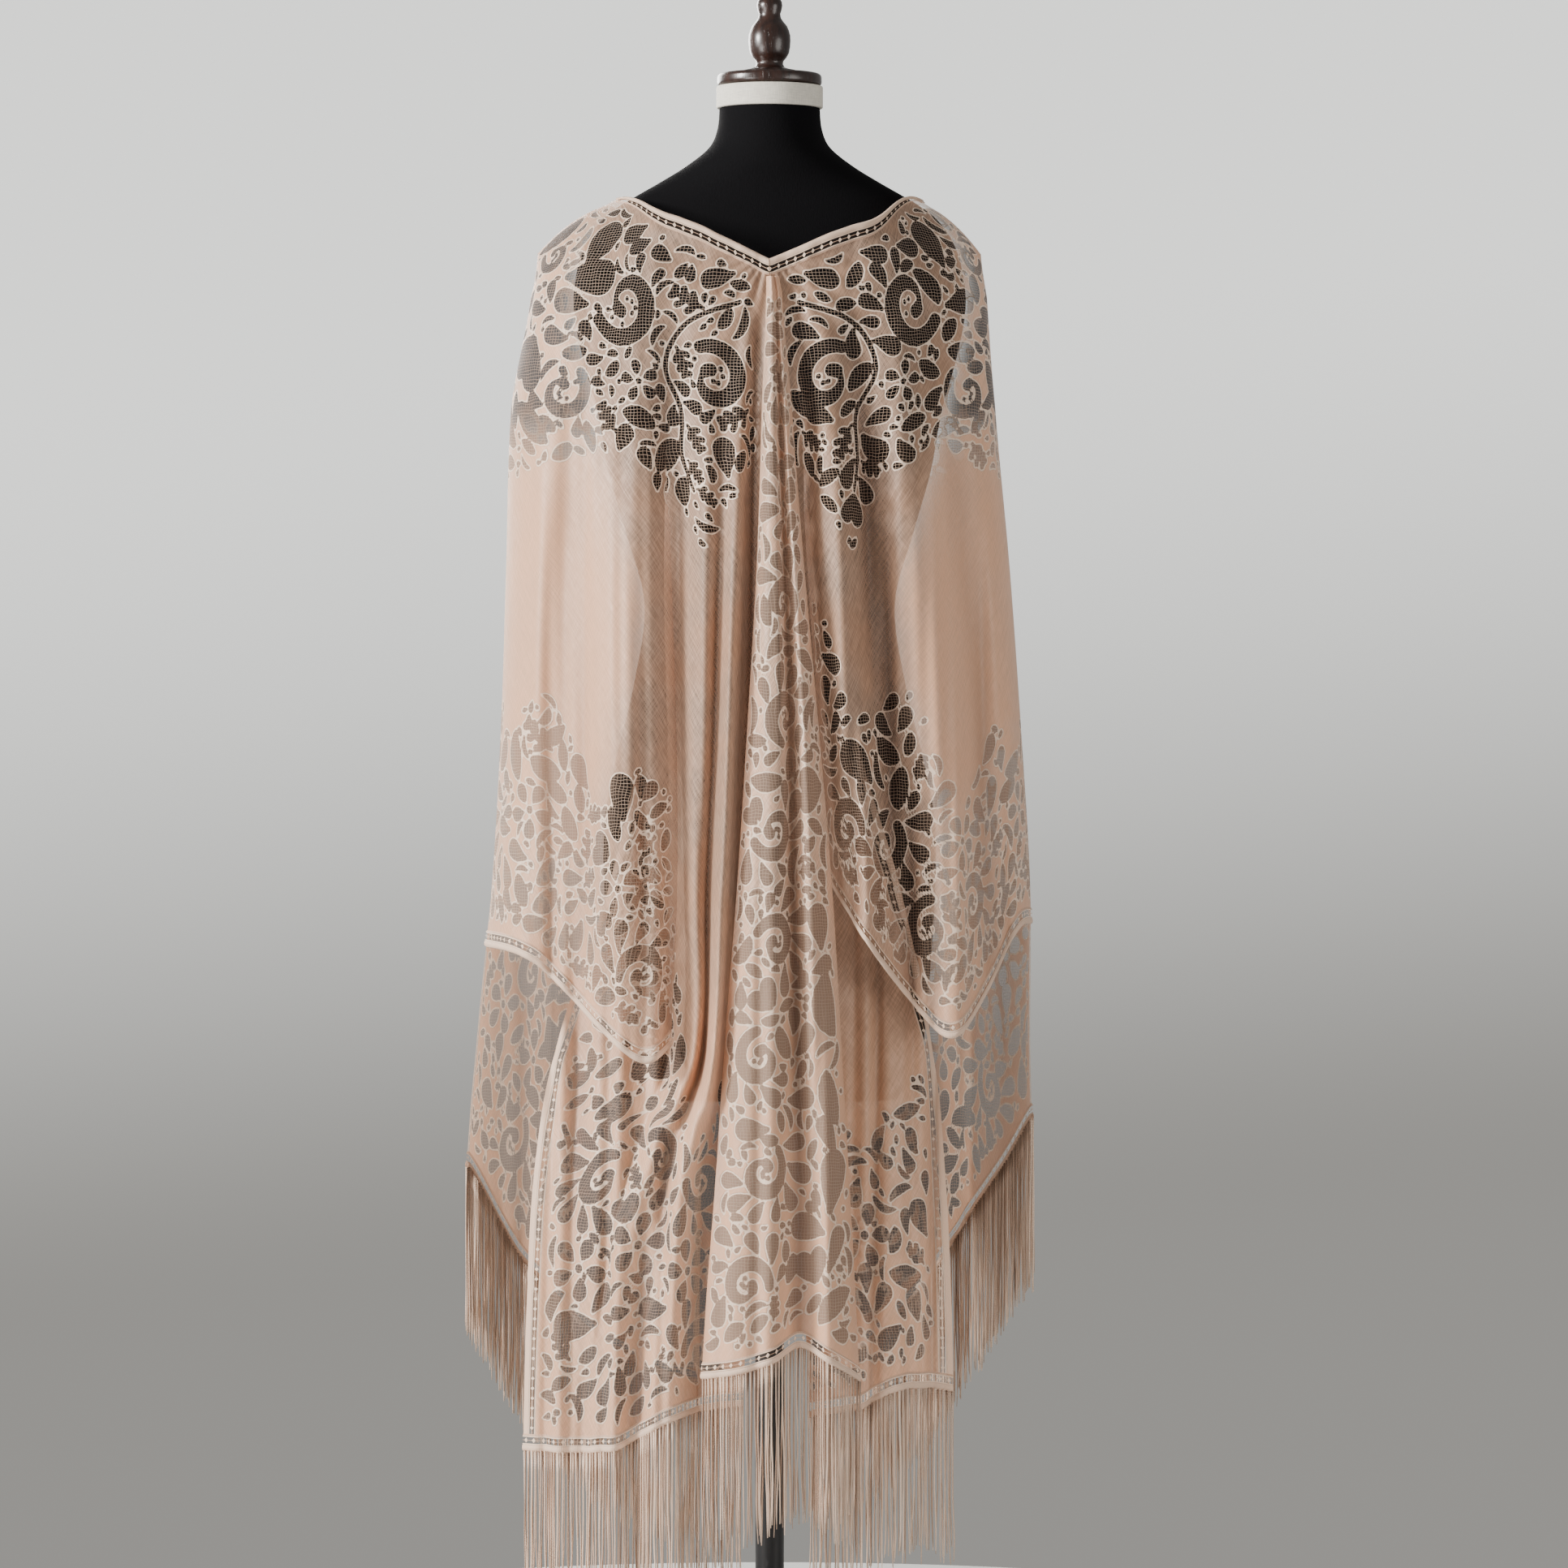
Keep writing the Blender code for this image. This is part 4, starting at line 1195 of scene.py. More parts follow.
def rgba(colour, share=1.0):
    """A colour for a socket, lightened or darkened by share."""
    return (*[share * part for part in colour], 1.0)


def new_finish(name):
    """The nodes of a new material, and a place in metres on its piece."""
    nodes = Nodes(bpy.data.materials.new(name))
    return nodes, nodes.add("ShaderNodeTexCoord", None, None, "Object")


def new_cloth(name):
    """The nodes of a new material, a place in millimetres on its cloth, and that place's two parts."""
    nodes = Nodes(bpy.data.materials.new(name))
    place = nodes.attribute("cloth", "Vector")
    first = nodes.add("ShaderNodeSeparateXYZ", None, {0: place})
    return nodes, place, first, Value(nodes, first.socket.node.outputs[1])


def ladder(nodes, along, inwards):
    """The openings and the raised cords of a ladder trim, from places along and in from the edge."""
    off = abs(inwards - LADDER_MIDDLE)
    beside = along.nearest(LADDER_PITCH)
    bead = nodes.rise(beside / 2.0 + off / 2.5, 1.15, 0.85)
    openings = nodes.rise(off, 3.3, 2.9) * (1 - bead) * nodes.rise(off, 0.1, 0.4)
    first, second = (nodes.rise(abs(inwards - place), 0.75, 0.3) for place in LADDER_CORDS)
    cords = first.most(second)
    return openings, cords.most(bead * nodes.rise(off, 2.9, 2.5))


def lace_knit(name, settings, ground=0.47, open_net=0.03, darkens=1.0, glow=GLOW):
    """Sheer slubbed knit with net-filled lace motifs, outlined with a raised cord.

    ground is how much the knit covers and open_net how much the gaps in its net do. darkens says
    whether the net gets the painted dark shade in the yoke and low in the middle.
    """
    colours = settings.shawl_colours
    nodes, place, across, along = new_cloth(name)
    edge = nodes.attribute("lace") + (nodes.noise(place, 0.34, 1.0) - 0.5) * 1.1 - 0.7
    rim = nodes.attribute("rim")
    dense = nodes.attribute("dense")
    # deep marks where the net is painted dark, as shade: in the yoke and low in the middle
    deep = nodes.attribute("deep") * darkens
    veil = nodes.attribute("veil")

    weft = nodes.noise(nodes.stretched(place, -0.9, (0.05, 0.8, 1)), 1.0, 2.0)
    slant = nodes.noise(nodes.stretched(place, 1.0, (0.04, 0.7, 1)), 1.0, 2.0)
    cloudy = nodes.noise(place, 0.012, 2.0)
    slub = nodes.rise(weft, 0.36, 0.66) * 0.4 + nodes.rise(slant, 0.36, 0.66) * 0.6

    net = nodes.rise(edge, -0.15, -0.75)
    cord = nodes.rise(abs(edge - 0.35), 1.0, 0.45)
    warp = nodes.noise(place, 0.06, 1.0) * 5.0
    pitch = settings.shawl_sizes.net_pitch / MM
    bars = nodes.rise((along + warp).nearest(pitch * 0.82), 0.34, 0.12)
    posts = nodes.rise((across + warp + along * 0.12).nearest(pitch), 0.30, 0.1)
    thread = bars.most(posts)

    openings, ladder_cords = ladder(nodes, along, rim)
    in_rim = nodes.rise(rim, 15.2, 14.6)
    hem = nodes.rise(rim, 6.0, 5.4)

    cloth_alpha = (ground + slub * 0.16 + cloudy * 0.08 - 0.06 + dense * 0.36).least(0.97)
    # The net's gaps are filled with painted shade: more opaquely beyond and below the form, and almost wholly
    # where deep
    gap_alpha = (open_net + dense * 0.6).most(deep * dense * 0.92)
    alpha = cloth_alpha + net * (gap_alpha + thread * (0.80 - gap_alpha) - cloth_alpha)
    alpha = alpha.most(cord * 0.97).most(in_rim * 0.9).most(hem * 0.97)
    alpha = alpha * (1 - openings * in_rim * 0.94) * veil

    base = nodes.mix(slub, rgba(colours.blush_dark), rgba(colours.blush))
    base = nodes.mix(nodes.rise(cloudy, 0.35, 0.7) * 0.5, base, rgba(colours.blush_warm))
    base = nodes.mix(dense * 0.7, base, rgba(colours.blush_warm))
    # Painted shade fills the net's gaps, darker where deep, and pulls the threads towards it there
    shade = nodes.mix(deep, rgba(colours.net_shade), rgba(colours.net_dark_shade))
    yarn = nodes.mix(deep * dense * 0.6, rgba(colours.net_thread), rgba(colours.net_shade))
    base = nodes.mix(net, base, nodes.mix(thread, shade, yarn))
    base = nodes.mix(cord.most(in_rim * 0.55).most(ladder_cords * in_rim), base, rgba(colours.cord))
    # Painted shade: the knit is darkened towards deep brown in the valleys between the folds
    base = nodes.mix(nodes.attribute("hollow") * 0.62, base, rgba(colours.blush_shade_colour))

    fine = nodes.noise(nodes.stretched(place, 0, (1.4, 0.5, 1)), 1.0, 2.0)
    height = cord * 0.9 + thread * net * 0.5 + slub * 0.22 + fine * 0.16
    height = height + ladder_cords * in_rim * 0.8 + hem * 0.8
    rough = 0.56 - slub * 0.16 + net * 0.2
    normal = nodes.bump(height, 0.0006, 0.9)
    return nodes.finish(
        {"Sheen Weight": 0.4, "Sheen Roughness": 0.35, "Specular IOR Level": 0.5},
        Base_Color=base, Roughness=rough, Alpha=nodes.let_through(glow, base, alpha, normal), Normal=normal,
    )


def trim_knit(colours):
    """The knitted ladder trim with its rolled edge."""
    nodes, place, along, inwards = new_cloth("knitted ladder trim")
    openings, cords = ladder(nodes, along, inwards)
    ribs = nodes.rise(along.nearest(1.1), 0.05, 0.5)
    weave = nodes.noise(nodes.stretched(place, 0.3, (0.9, 1.6, 1)), 1.0, 3.0)
    rolled = nodes.rise(inwards, 6.2, 5.0)
    base = nodes.mix(nodes.rise(weave, 0.3, 0.7), rgba(colours.blush_dark), rgba(colours.blush))
    base = nodes.mix(cords.most(rolled * 0.6), base, rgba(colours.cord))
    height = cords * 0.8 + ribs * 0.25 + weave * 0.25
    alpha = (1 - openings * 0.97) * (0.88 + rolled * 0.1).most(cords * 0.98)
    normal = nodes.bump(height, 0.0005, 0.8)
    return nodes.finish(
        {"Sheen Weight": 0.25, "Sheen Roughness": 0.4, "Specular IOR Level": 0.35},
        Base_Color=base, Roughness=0.6 - cords * 0.1, Alpha=nodes.let_through(GLOW, base, alpha, normal),
        Normal=normal,
    )


def fringe_thread(colours):
    """Silky twisted threads, each in its own tone."""
    nodes, _, along, down = new_cloth("silky fringe thread")
    twist = nodes.math("SINE", down * 2.6 + along * 3.0)
    base = nodes.mix(nodes.attribute("tone"), rgba(colours.fringe_dark), rgba(colours.fringe))
    return nodes.finish(
        {"Sheen Weight": 0.25, "Sheen Roughness": 0.35, "Specular IOR Level": 0.5},
        Base_Color=base, Roughness=0.48 + twist * 0.06, Normal=nodes.bump(twist, 0.0002, 0.5),
    )


def jersey(colours):
    """Matt black jersey with fine vertical ribs."""
    nodes, place = new_finish("black jersey")
    ribs = nodes.noise(nodes.stretched(place, 0, (900, 900, 260)), 1.0, 2.0)
    lint = nodes.rise(nodes.noise(place, 160, 4.0), 0.66, 0.8)
    worn = nodes.noise(place, 9, 3.0)
    base = nodes.mix(ribs, rgba(colours.jersey, 0.6), rgba(colours.jersey, 1.3))
    base = nodes.mix(lint * 0.1, base, (0.02, 0.019, 0.02, 1))
    return nodes.finish(
        {"Specular IOR Level": 0.1},
        Base_Color=base, Roughness=0.88 + worn * 0.1, Normal=nodes.bump(ribs, 0.0004, 0.7),
    )


def linen(colours):
    """Plain-woven cream linen."""
    nodes, place = new_finish("cream linen")
    warp = nodes.noise(nodes.stretched(place, 0, (1500, 1500, 120)), 1.0, 2.0)
    weft = nodes.noise(nodes.stretched(place, 0, (120, 120, 1500)), 1.0, 2.0)
    soiled = nodes.noise(place, 30, 4.0)
    weave = warp * 0.5 + weft * 0.5
    base = nodes.mix(nodes.rise(weave, 0.35, 0.65), rgba(colours.linen, 0.8), rgba(colours.linen))
    base = nodes.mix(nodes.rise(soiled, 0.5, 0.8) * 0.3, base, (0.50, 0.45, 0.37, 1))
    return nodes.finish(
        {"Sheen Weight": 0.15, "Specular IOR Level": 0.25},
        Base_Color=base, Roughness=0.85 + weave * 0.1, Normal=nodes.bump(weave, 0.0005, 0.8),
    )


def turned_wood(colours):
    """Dark polished wood with long grain and pores."""
    nodes, place = new_finish("dark polished wood")
    grain = nodes.noise(nodes.stretched(place, 0.3, (160, 160, 14)), 1.0, 5.0, 0.65)
    pores = nodes.rise(nodes.noise(nodes.stretched(place, 0, (900, 900, 60)), 1.0, 2.0), 0.62, 0.72)
    wear = nodes.rise(nodes.noise(place, 55, 4.0), 0.6, 0.8)
    base = nodes.mix(nodes.rise(grain, 0.3, 0.7), rgba(colours.wood, 0.45), rgba(colours.wood, 1.5))
    base = nodes.mix(pores * 0.6, base, (0.008, 0.005, 0.004, 1))
    return nodes.finish(
        {"Specular IOR Level": 0.5, "Coat Roughness": 0.2},
        Base_Color=base, Roughness=0.32 + wear * 0.2 + pores * 0.1, Coat_Weight=0.3 - wear * 0.2,
        Normal=nodes.bump(pores * -1.0 + grain * 0.3, 0.0003, 0.5),
    )


def stand_paint(colours):
    """Satin black paint on steel, with faint orange peel and scuffs."""
    nodes, place = new_finish("satin black paint")
    peel = nodes.noise(place, 420, 2.0)
    scuffs = nodes.rise(nodes.noise(nodes.stretched(place, 0.6, (30, 260, 60)), 1.0, 4.0), 0.62, 0.75)
    dust = nodes.noise(place, 24, 4.0)
    base = nodes.mix(scuffs * 0.35, rgba(colours.metal), (0.11, 0.11, 0.115, 1))
    return nodes.finish(
        {"Specular IOR Level": 0.5},
        Base_Color=base, Roughness=0.34 + dust * 0.2 + scuffs * 0.12, Metallic=0.2 + scuffs * 0.3,
        Normal=nodes.bump(peel, 0.0002, 0.4),
    )


def floor_paint():
    """A pale painted floor, a little uneven."""
    nodes, place = new_finish("pale floor")
    mottled = nodes.noise(place, 5, 4.0)
    base = nodes.mix(mottled, (0.53, 0.53, 0.51, 1), (0.60, 0.60, 0.58, 1))
    return nodes.finish(
        {"Specular IOR Level": 0.3},
        Base_Color=base, Roughness=0.6 + mottled * 0.15,
        Normal=nodes.bump(nodes.noise(place, 90, 3.0), 0.0004, 0.3),
    )


def new_object(name, data):
    """Adds an object to the scene."""
    made = bpy.data.objects.new(name, data)
    bpy.context.scene.collection.objects.link(made)
    return made


def new_piece(name, mesh, finish, node):
    """Adds a piece to the scene, under the root body, and hides the CAD part that it takes the place of."""
    piece = new_object(name, mesh)
    mesh.materials.append(finish)
    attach(piece, "root")
    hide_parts(node)


def new_mesh(name, points, faces, **values):
    """A smooth mesh of points in millimetres, with numbers or vectors on them."""
    mesh = bpy.data.meshes.new(name)
    mesh.from_pydata((points * MM).tolist(), [], faces)
    for attribute, made in values.items():
        kind, key = ("FLOAT_VECTOR", "vector") if made.ndim == 2 else ("FLOAT", "value")
        mesh.attributes.new(attribute, kind, "POINT").data.foreach_set(key, made.astype(np.float32).ravel())
    mesh.shade_smooth()
    return mesh


def grid_faces(rows, columns, first=0):
    """Quads over a grid of vertices that are counted row by row."""
    corner = first + np.arange(rows - 1)[:, None] * columns + np.arange(columns - 1)[None, :]
    return np.stack([corner, corner + 1, corner + columns + 1, corner + columns], axis=-1)


def part_of_sheet(grid, lace, rim=FAR, veil=1.0):
    """One grid of a sheet, and what varies over it: lace, distance to a trimmed edge, fading and the painted
    shade of its valleys.

    shown says which of its quads are made. The last row lies under a trim and is left out.
    """
    shown = np.ones((grid.shape[0] - 1, grid.shape[1] - 1), bool)
    shown[-1] = False
    flat = np.zeros(grid.shape[:2])
    cloth = np.stack([grid[:, :, -1], grid[:, :, 3], flat], axis=-1)
    return {"grid": grid, "shown": shown, "cloth": cloth, "lace": lace, "rim": flat + rim,
            "veil": flat + veil, "hollow": painted_fold_shading(grid)}


def sheet_mesh(name, parts):
    """One mesh of the parts of a sheet, which share edges."""
    faces, count = [], 0
    for part in parts:
        rows, columns = part["grid"].shape[:2]
        faces.append(grid_faces(rows, columns, count)[part["shown"]])
        count += rows * columns
    places = np.concatenate([part["grid"][:, :, :3].reshape(-1, 3) for part in parts])
    values = {key: np.concatenate([part[key].ravel() for part in parts])
              for key in ("lace", "rim", "veil", "hollow")}
    values["cloth"] = np.concatenate([part["cloth"].reshape(-1, 3) for part in parts])

    # Beyond the form's outline and below it the knit is denser and its net's gaps hold more painted shade;
    # in the yoke, and below the form near the middle, the net is painted dark, as shade
    x, z = np.abs(places[:, 0]), places[:, 2]
    heights, widths = zip(*[section[:2] for section in FORM_SECTIONS[::-1]])
    foot = heights[0]
    beyond = step_up(x - np.interp(z, heights, widths), *OUTLINE_FADE)
    values["dense"] = np.maximum(beyond, step_up(foot + FOOT_FADE[0] - z, 0, FOOT_FADE[1]))
    below = (1 - step_up(x, *MIDDLE_FADE)) * step_up(foot + DARK_FOOT_FADE[0] - z, 0, DARK_FOOT_FADE[1])
    values["deep"] = np.maximum(step_up(z, *YOKE_FADE), 0.85 * below)

    mesh = new_mesh(name, places, np.concatenate(faces).tolist(), **values)
    shape = bmesh.new()
    shape.from_mesh(mesh)
    bmesh.ops.remove_doubles(shape, verts=shape.verts, dist=0.02 * MM)
    bmesh.ops.delete(shape, geom=[v for v in shape.verts if not v.link_faces], context="VERTS")
    shape.to_mesh(mesh)
    shape.free()
    return mesh


def laid_flat(first, second):
    """Places on a cloth from their two distances over it."""
    return np.stack([first, second, np.zeros_like(first)], axis=-1).reshape(-1, 3)


def trim_mesh(name, edge, inner, outward):
    """A trim with a rolled edge, along the cloth's edge and as wide as a band."""
    run = run_along(edge)
    at = np.linspace(0, run[-1], max(4, round(run[-1] / TRIM_STEP)) + 1)
    edge, inner = (taken_at(at, run, line) for line in (edge, inner))
    normal = np.cross(np.gradient(edge, axis=0), inner - edge)
    normal /= np.maximum(1e-9, np.linalg.norm(normal, axis=1))[:, None]
    if normal[:, 1].sum() * outward < 0:
        normal = -normal
    points = [edge + (inner - edge) * distance / BAND_WIDTH + normal * lift
              for distance, lift in TRIM_PROFILE]
    cloth = [laid_flat(at, np.full_like(at, distance)) for distance, _ in TRIM_PROFILE]
    faces = grid_faces(len(points), len(at)).reshape(-1, 4).tolist()
    return new_mesh(name, np.concatenate(points), faces, cloth=np.concatenate(cloth))


def fringe_mesh(name, hem, seed, sizes):
    """Two layers of thin threads along a hem, drawn together in small clumps towards their ends."""
    draws = np.random.default_rng(seed)
    run = run_along(hem)
    count = int(run[-1] / (sizes.strand_pitch / MM)) * 2
    at = np.sort(draws.random(count)) * 0.25 * sizes.strand_pitch / MM + np.linspace(1, run[-1] - 1.5, count)
    root = taken_at(at, run, hem)
    level = np.gradient(root, axis=0) * (1, 1, 0)
    level /= np.maximum(1e-9, np.linalg.norm(level, axis=1))[:, None]
    out = np.cross(level, (0, 0, 1))
    layer = np.where(np.arange(count) % 2, 0.8, -0.8)
    clump = np.floor(at / CLUMP_WIDTH + 0.35 * np.sin(at / 23))
    pull = np.zeros_like(root)
    for number in np.unique(clump):
        members = clump == number
        pull[members] = root[members].mean(axis=0) - root[members]
    pull[:, 2] = 0
    length = FRINGE_LENGTH * (1 + FRINGE_SPREAD * (2 * draws.random(count) - 1))
    phase = (draws.random((count, 3)) * 2 * math.pi)[:, :, None, None]
    radius = sizes.thread_radius / MM * (0.8 + 0.4 * draws.random(count))
    t = np.linspace(0, 1, STRAND_RINGS)[None, :, None]
    centre = root[:, None] + out[:, None] * layer[:, None, None] * (1 + 1.5 * t)
    centre = centre + pull[:, None] * (0.1 + 0.45 * draws.random(count))[:, None, None] * t**0.8
    wave = 1.3 * np.sin(5 * t + phase[:, 0]) * t + 0.5 * np.sin(13 * t + phase[:, 1]) * t
    centre = centre + level[:, None] * wave + out[:, None] * np.sin(4 * t + phase[:, 2]) * t
    centre[:, :, 2] -= length[:, None] * t[:, :, 0] - 0.8
    turn = np.arange(3) * 2 * math.pi / 3
    ring = np.stack([np.cos(turn), np.sin(turn), np.zeros(3)], axis=1)
    thick = radius[:, None] * np.interp(t[0, :, 0], *zip(*THREAD_PROFILE))[None, :]
    points = centre[:, :, None] + ring[None, None] * thick[:, :, None, None]
    index = np.arange(count * STRAND_RINGS * 3).reshape(count, STRAND_RINGS, 3)
    after = np.roll(index, -1, axis=2)
    quads = np.stack([index[:, :-1], after[:, :-1], after[:, 1:], index[:, 1:]], axis=-1).reshape(-1, 4)
    caps = np.concatenate([index[:, 0, ::-1], index[:, -1]])
    faces = quads[:, ::-1].tolist() + caps[:, ::-1].tolist()
    down = t[:, :, 0] * length[:, None]
    cloth = np.repeat(laid_flat(np.broadcast_to(at[:, None], down.shape), down), 3, axis=0)
    tone = np.repeat(draws.random(count), STRAND_RINGS * 3)
    return new_mesh(name, points.reshape(-1, 3), faces, cloth=cloth, tone=tone)


def lofted_mesh(name, rings):
    """A closed solid through rings of points in millimetres. A ring of one point is a tip."""
    shape = bmesh.new()
    rings = [[shape.verts.new([value * MM for value in point]) for point in ring] for ring in rings]
    for upper, lower in zip(rings, rings[1:]):
        for k in range(max(len(upper), len(lower))):
            corners = (upper[k % len(upper)], lower[k % len(lower)],
                       lower[(k + 1) % len(lower)], upper[(k + 1) % len(upper)])
            shape.faces.new(list(dict.fromkeys(corners)))
    for ring in (rings[0], rings[-1]):
        if len(ring) > 1:
            shape.faces.new(ring)
    bmesh.ops.recalc_face_normals(shape, faces=shape.faces)
    mesh = bpy.data.meshes.new(name)
    shape.to_mesh(mesh)
    shape.free()
    mesh.shade_smooth()
    return mesh


def turned_mesh(name, profile, sides=DRUM_SIDES):
    """A solid of revolution from (radius, height) points, in millimetres."""
    return lofted_mesh(name, [
        [(radius * math.cos(2 * math.pi * k / sides), radius * math.sin(2 * math.pi * k / sides), height)
         for k in range(1 if radius == 0 else sides)]
        for radius, height in profile
    ])


def rounded_drum(radius, low, high, rounding):
    """The profile of an upright cylinder with rounded rims, from the top down."""
    turn = np.linspace(0, math.pi / 2, 5)
    top = [(radius - rounding * (1 - math.sin(a)), high - rounding * (1 - math.cos(a))) for a in turn]
    foot = [(radius - rounding * (1 - math.sin(a)), low + rounding * (1 - math.cos(a))) for a in turn[::-1]]
    return [(0.0, high), *top, *foot, (0.0, low)]


def form_mesh(name):
    """The dress form's body, a smooth loft a little inside the CAD one, with a rounded foot."""
    low, high = (corner.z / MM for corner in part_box("torso"))
    lift = high - FORM_SECTIONS[0][0]
    sections = smooth(FORM_SECTIONS, np.linspace(0, len(FORM_SECTIONS) - 1, FORM_RINGS))
    profile = [(z + lift, wide - FORM_INSET, deep - FORM_INSET, centre) for z, wide, deep, centre in sections]
    z, wide, deep, centre = profile[-1]
    profile += [(z - 4, wide - 3, deep - 3, centre), (z - 7, wide - 12, deep - 12, centre)]
    turn = 2 * math.pi * np.arange(FORM_SIDES) / FORM_SIDES
    return lofted_mesh(name, [
        [(wide * math.cos(a), centre + deep * math.sin(a), max(z, low)) for a in turn]
        for z, wide, deep, centre in profile
    ])


def build_back(side, finish, sizes):
    """One back panel of knit and lace."""
    grids = back_grids(side, sizes.back_mesh / MM)
    gusset = grids[2]
    reach = gusset[:, -1:, -1] - gusset[:, :, -1]
    rims = (FAR, FAR, np.minimum(FAR, reach))
    veils = (1.0, 1.0, step_up(GUSSET_TOP - gusset[:, :, 2], 10, 170))
    parts = [part_of_sheet(*row) for row in zip(grids, back_lace(side, grids), rims, veils)]
    parts[0]["shown"][0] = False
    parts[1]["shown"][0] = np.abs(grids[1][0, 1:, 0]) > NECKLINE_END
    name = f"back_{side.name}"
    HEMS[name] = grids
    new_piece(f"{name}_lace", sheet_mesh(f"{name}_lace", parts), finish, name)


def build_front(side, finish, sizes):
    """One front panel of knit and lace."""
    grid = front_grid(side, sizes.front_mesh / MM)
    inner = grid[:, -1:, -1] - grid[:, :, -1]
    loose = np.where(grid[:, :1, 2] < side.sleeve[-1].hem - 4, grid[:, :, -1], FAR)
    neck = np.where(np.abs(grid[:1, :, 0]) < NECKLINE_END, grid[:1, :, 3] - grid[:, :, 3], FAR)
    rim = np.minimum(np.minimum(inner, loose), np.minimum(neck, FAR))
    name = f"front_{side.name}"
    HEMS[name] = grid
    mesh = sheet_mesh(f"{name}_lace", [part_of_sheet(grid, front_lace(side, grid), rim)])
    new_piece(f"{name}_lace", mesh, finish, name)


def build_cascade(finish, sizes):
    """The cascade of the panels' inner edges."""
    grid = HEMS["cascade"] = cascade_grid(sizes.back_mesh / MM)
    mesh = sheet_mesh("cascade_lace", [part_of_sheet(grid, cascade_lace(grid))])
    new_piece("cascade_lace", mesh, finish, "cascade")


def joined_rows(first, second, row):
    """The same row of two grids that share a column, as one line of points."""
    return np.concatenate([first[row, :, :3], second[row, 1:, :3]])


def build_trims(finish):
    """All ladder trims."""
    lines = {}
    for side in (LEFT, RIGHT):
        body, sleeve, gusset = HEMS[f"back_{side.name}"]
        front = HEMS[f"front_{side.name}"]
        neck = [joined_rows(body, sleeve, row) for row in (0, 1)]
        kept = np.abs(neck[0][:, 0]) < NECKLINE_END + 3
        lines |= {
            f"neck_band_{side.name}": (neck[0][kept], neck[1][kept], -1),
            f"sleeve_band_{side.name}": (sleeve[-1, :, :3], sleeve[-2, :, :3], -1),
            f"hem_band_{side.name}": (joined_rows(body, gusset, -1), joined_rows(body, gusset, -2), -1),
            f"front_hem_band_{side.name}": (front[-1, :, :3], front[-2, :, :3], 1),
        }
    fall = HEMS["cascade"]
    lines["cascade_band"] = (fall[-1, :, :3], fall[-2, :, :3], -1)
    for name, (edge, inner, outward) in lines.items():
        new_piece(f"{name}_trim", trim_mesh(name, edge, inner, outward), finish, name)


def build_fringes(finish, sizes):
    """The fringe below each hem."""
    hems = {"fringe_cascade": HEMS["cascade"][-1, :, :3]}
    for side in (LEFT, RIGHT):
        body, _, gusset = HEMS[f"back_{side.name}"]
        hems[f"fringe_back_{side.name}"] = joined_rows(body, gusset, -1)
        hems[f"fringe_front_{side.name}"] = HEMS[f"front_{side.name}"][-1, :, :3]
    for seed, (name, hem) in enumerate(hems.items(), FIRST_FRINGE_SEED):
        new_piece(f"{name}_threads", fringe_mesh(name, hem, seed, sizes), finish, name)


def drum(node, name, rounding):
    """An upright drum in the place of a CAD one."""
    low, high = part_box(node)
    return turned_mesh(name, rounded_drum(high.x / MM, low.z / MM, high.z / MM, rounding))


def build_form(colours):
    """The dress form: body, neck, cap and finial."""
    wood = turned_wood(colours)
    new_piece("form_body", form_mesh("form_body"), jersey(colours), "torso")
    new_piece("form_neck", drum("neck", "form_neck", 1.5), linen(colours), "neck")
    new_piece("form_neck_cap", drum("neck_cap", "form_neck_cap", 4.0), wood, "neck_cap")
    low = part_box("finial")[0].z / MM
    profile = [(radius, low + height) for radius, height in FINIAL_PROFILE]
    new_piece("form_finial", turned_mesh("form_finial", profile, TURNED_SIDES), wood, "finial")


def build_stand(colours):
    """The stand: socket, pole and round base."""
    paint = stand_paint(colours)
    for node, rounding in (("pole_socket", 3.0), ("pole", 0.8), ("base", 6.0)):
        new_piece(f"stand_{node}", drum(node, f"stand_{node}", rounding), paint, node)


def add_lamp(name, place, aim, size, watts, colour):
    """A round lamp that faces the aim."""
    data = bpy.data.lights.new(name, "AREA")
    data.shape, data.size, data.energy, data.color = "DISK", size, watts, colour
    made = new_object(name, data)
    made.location = place
    made.rotation_euler = (aim - made.location).to_track_quat("-Z", "Y").to_euler()


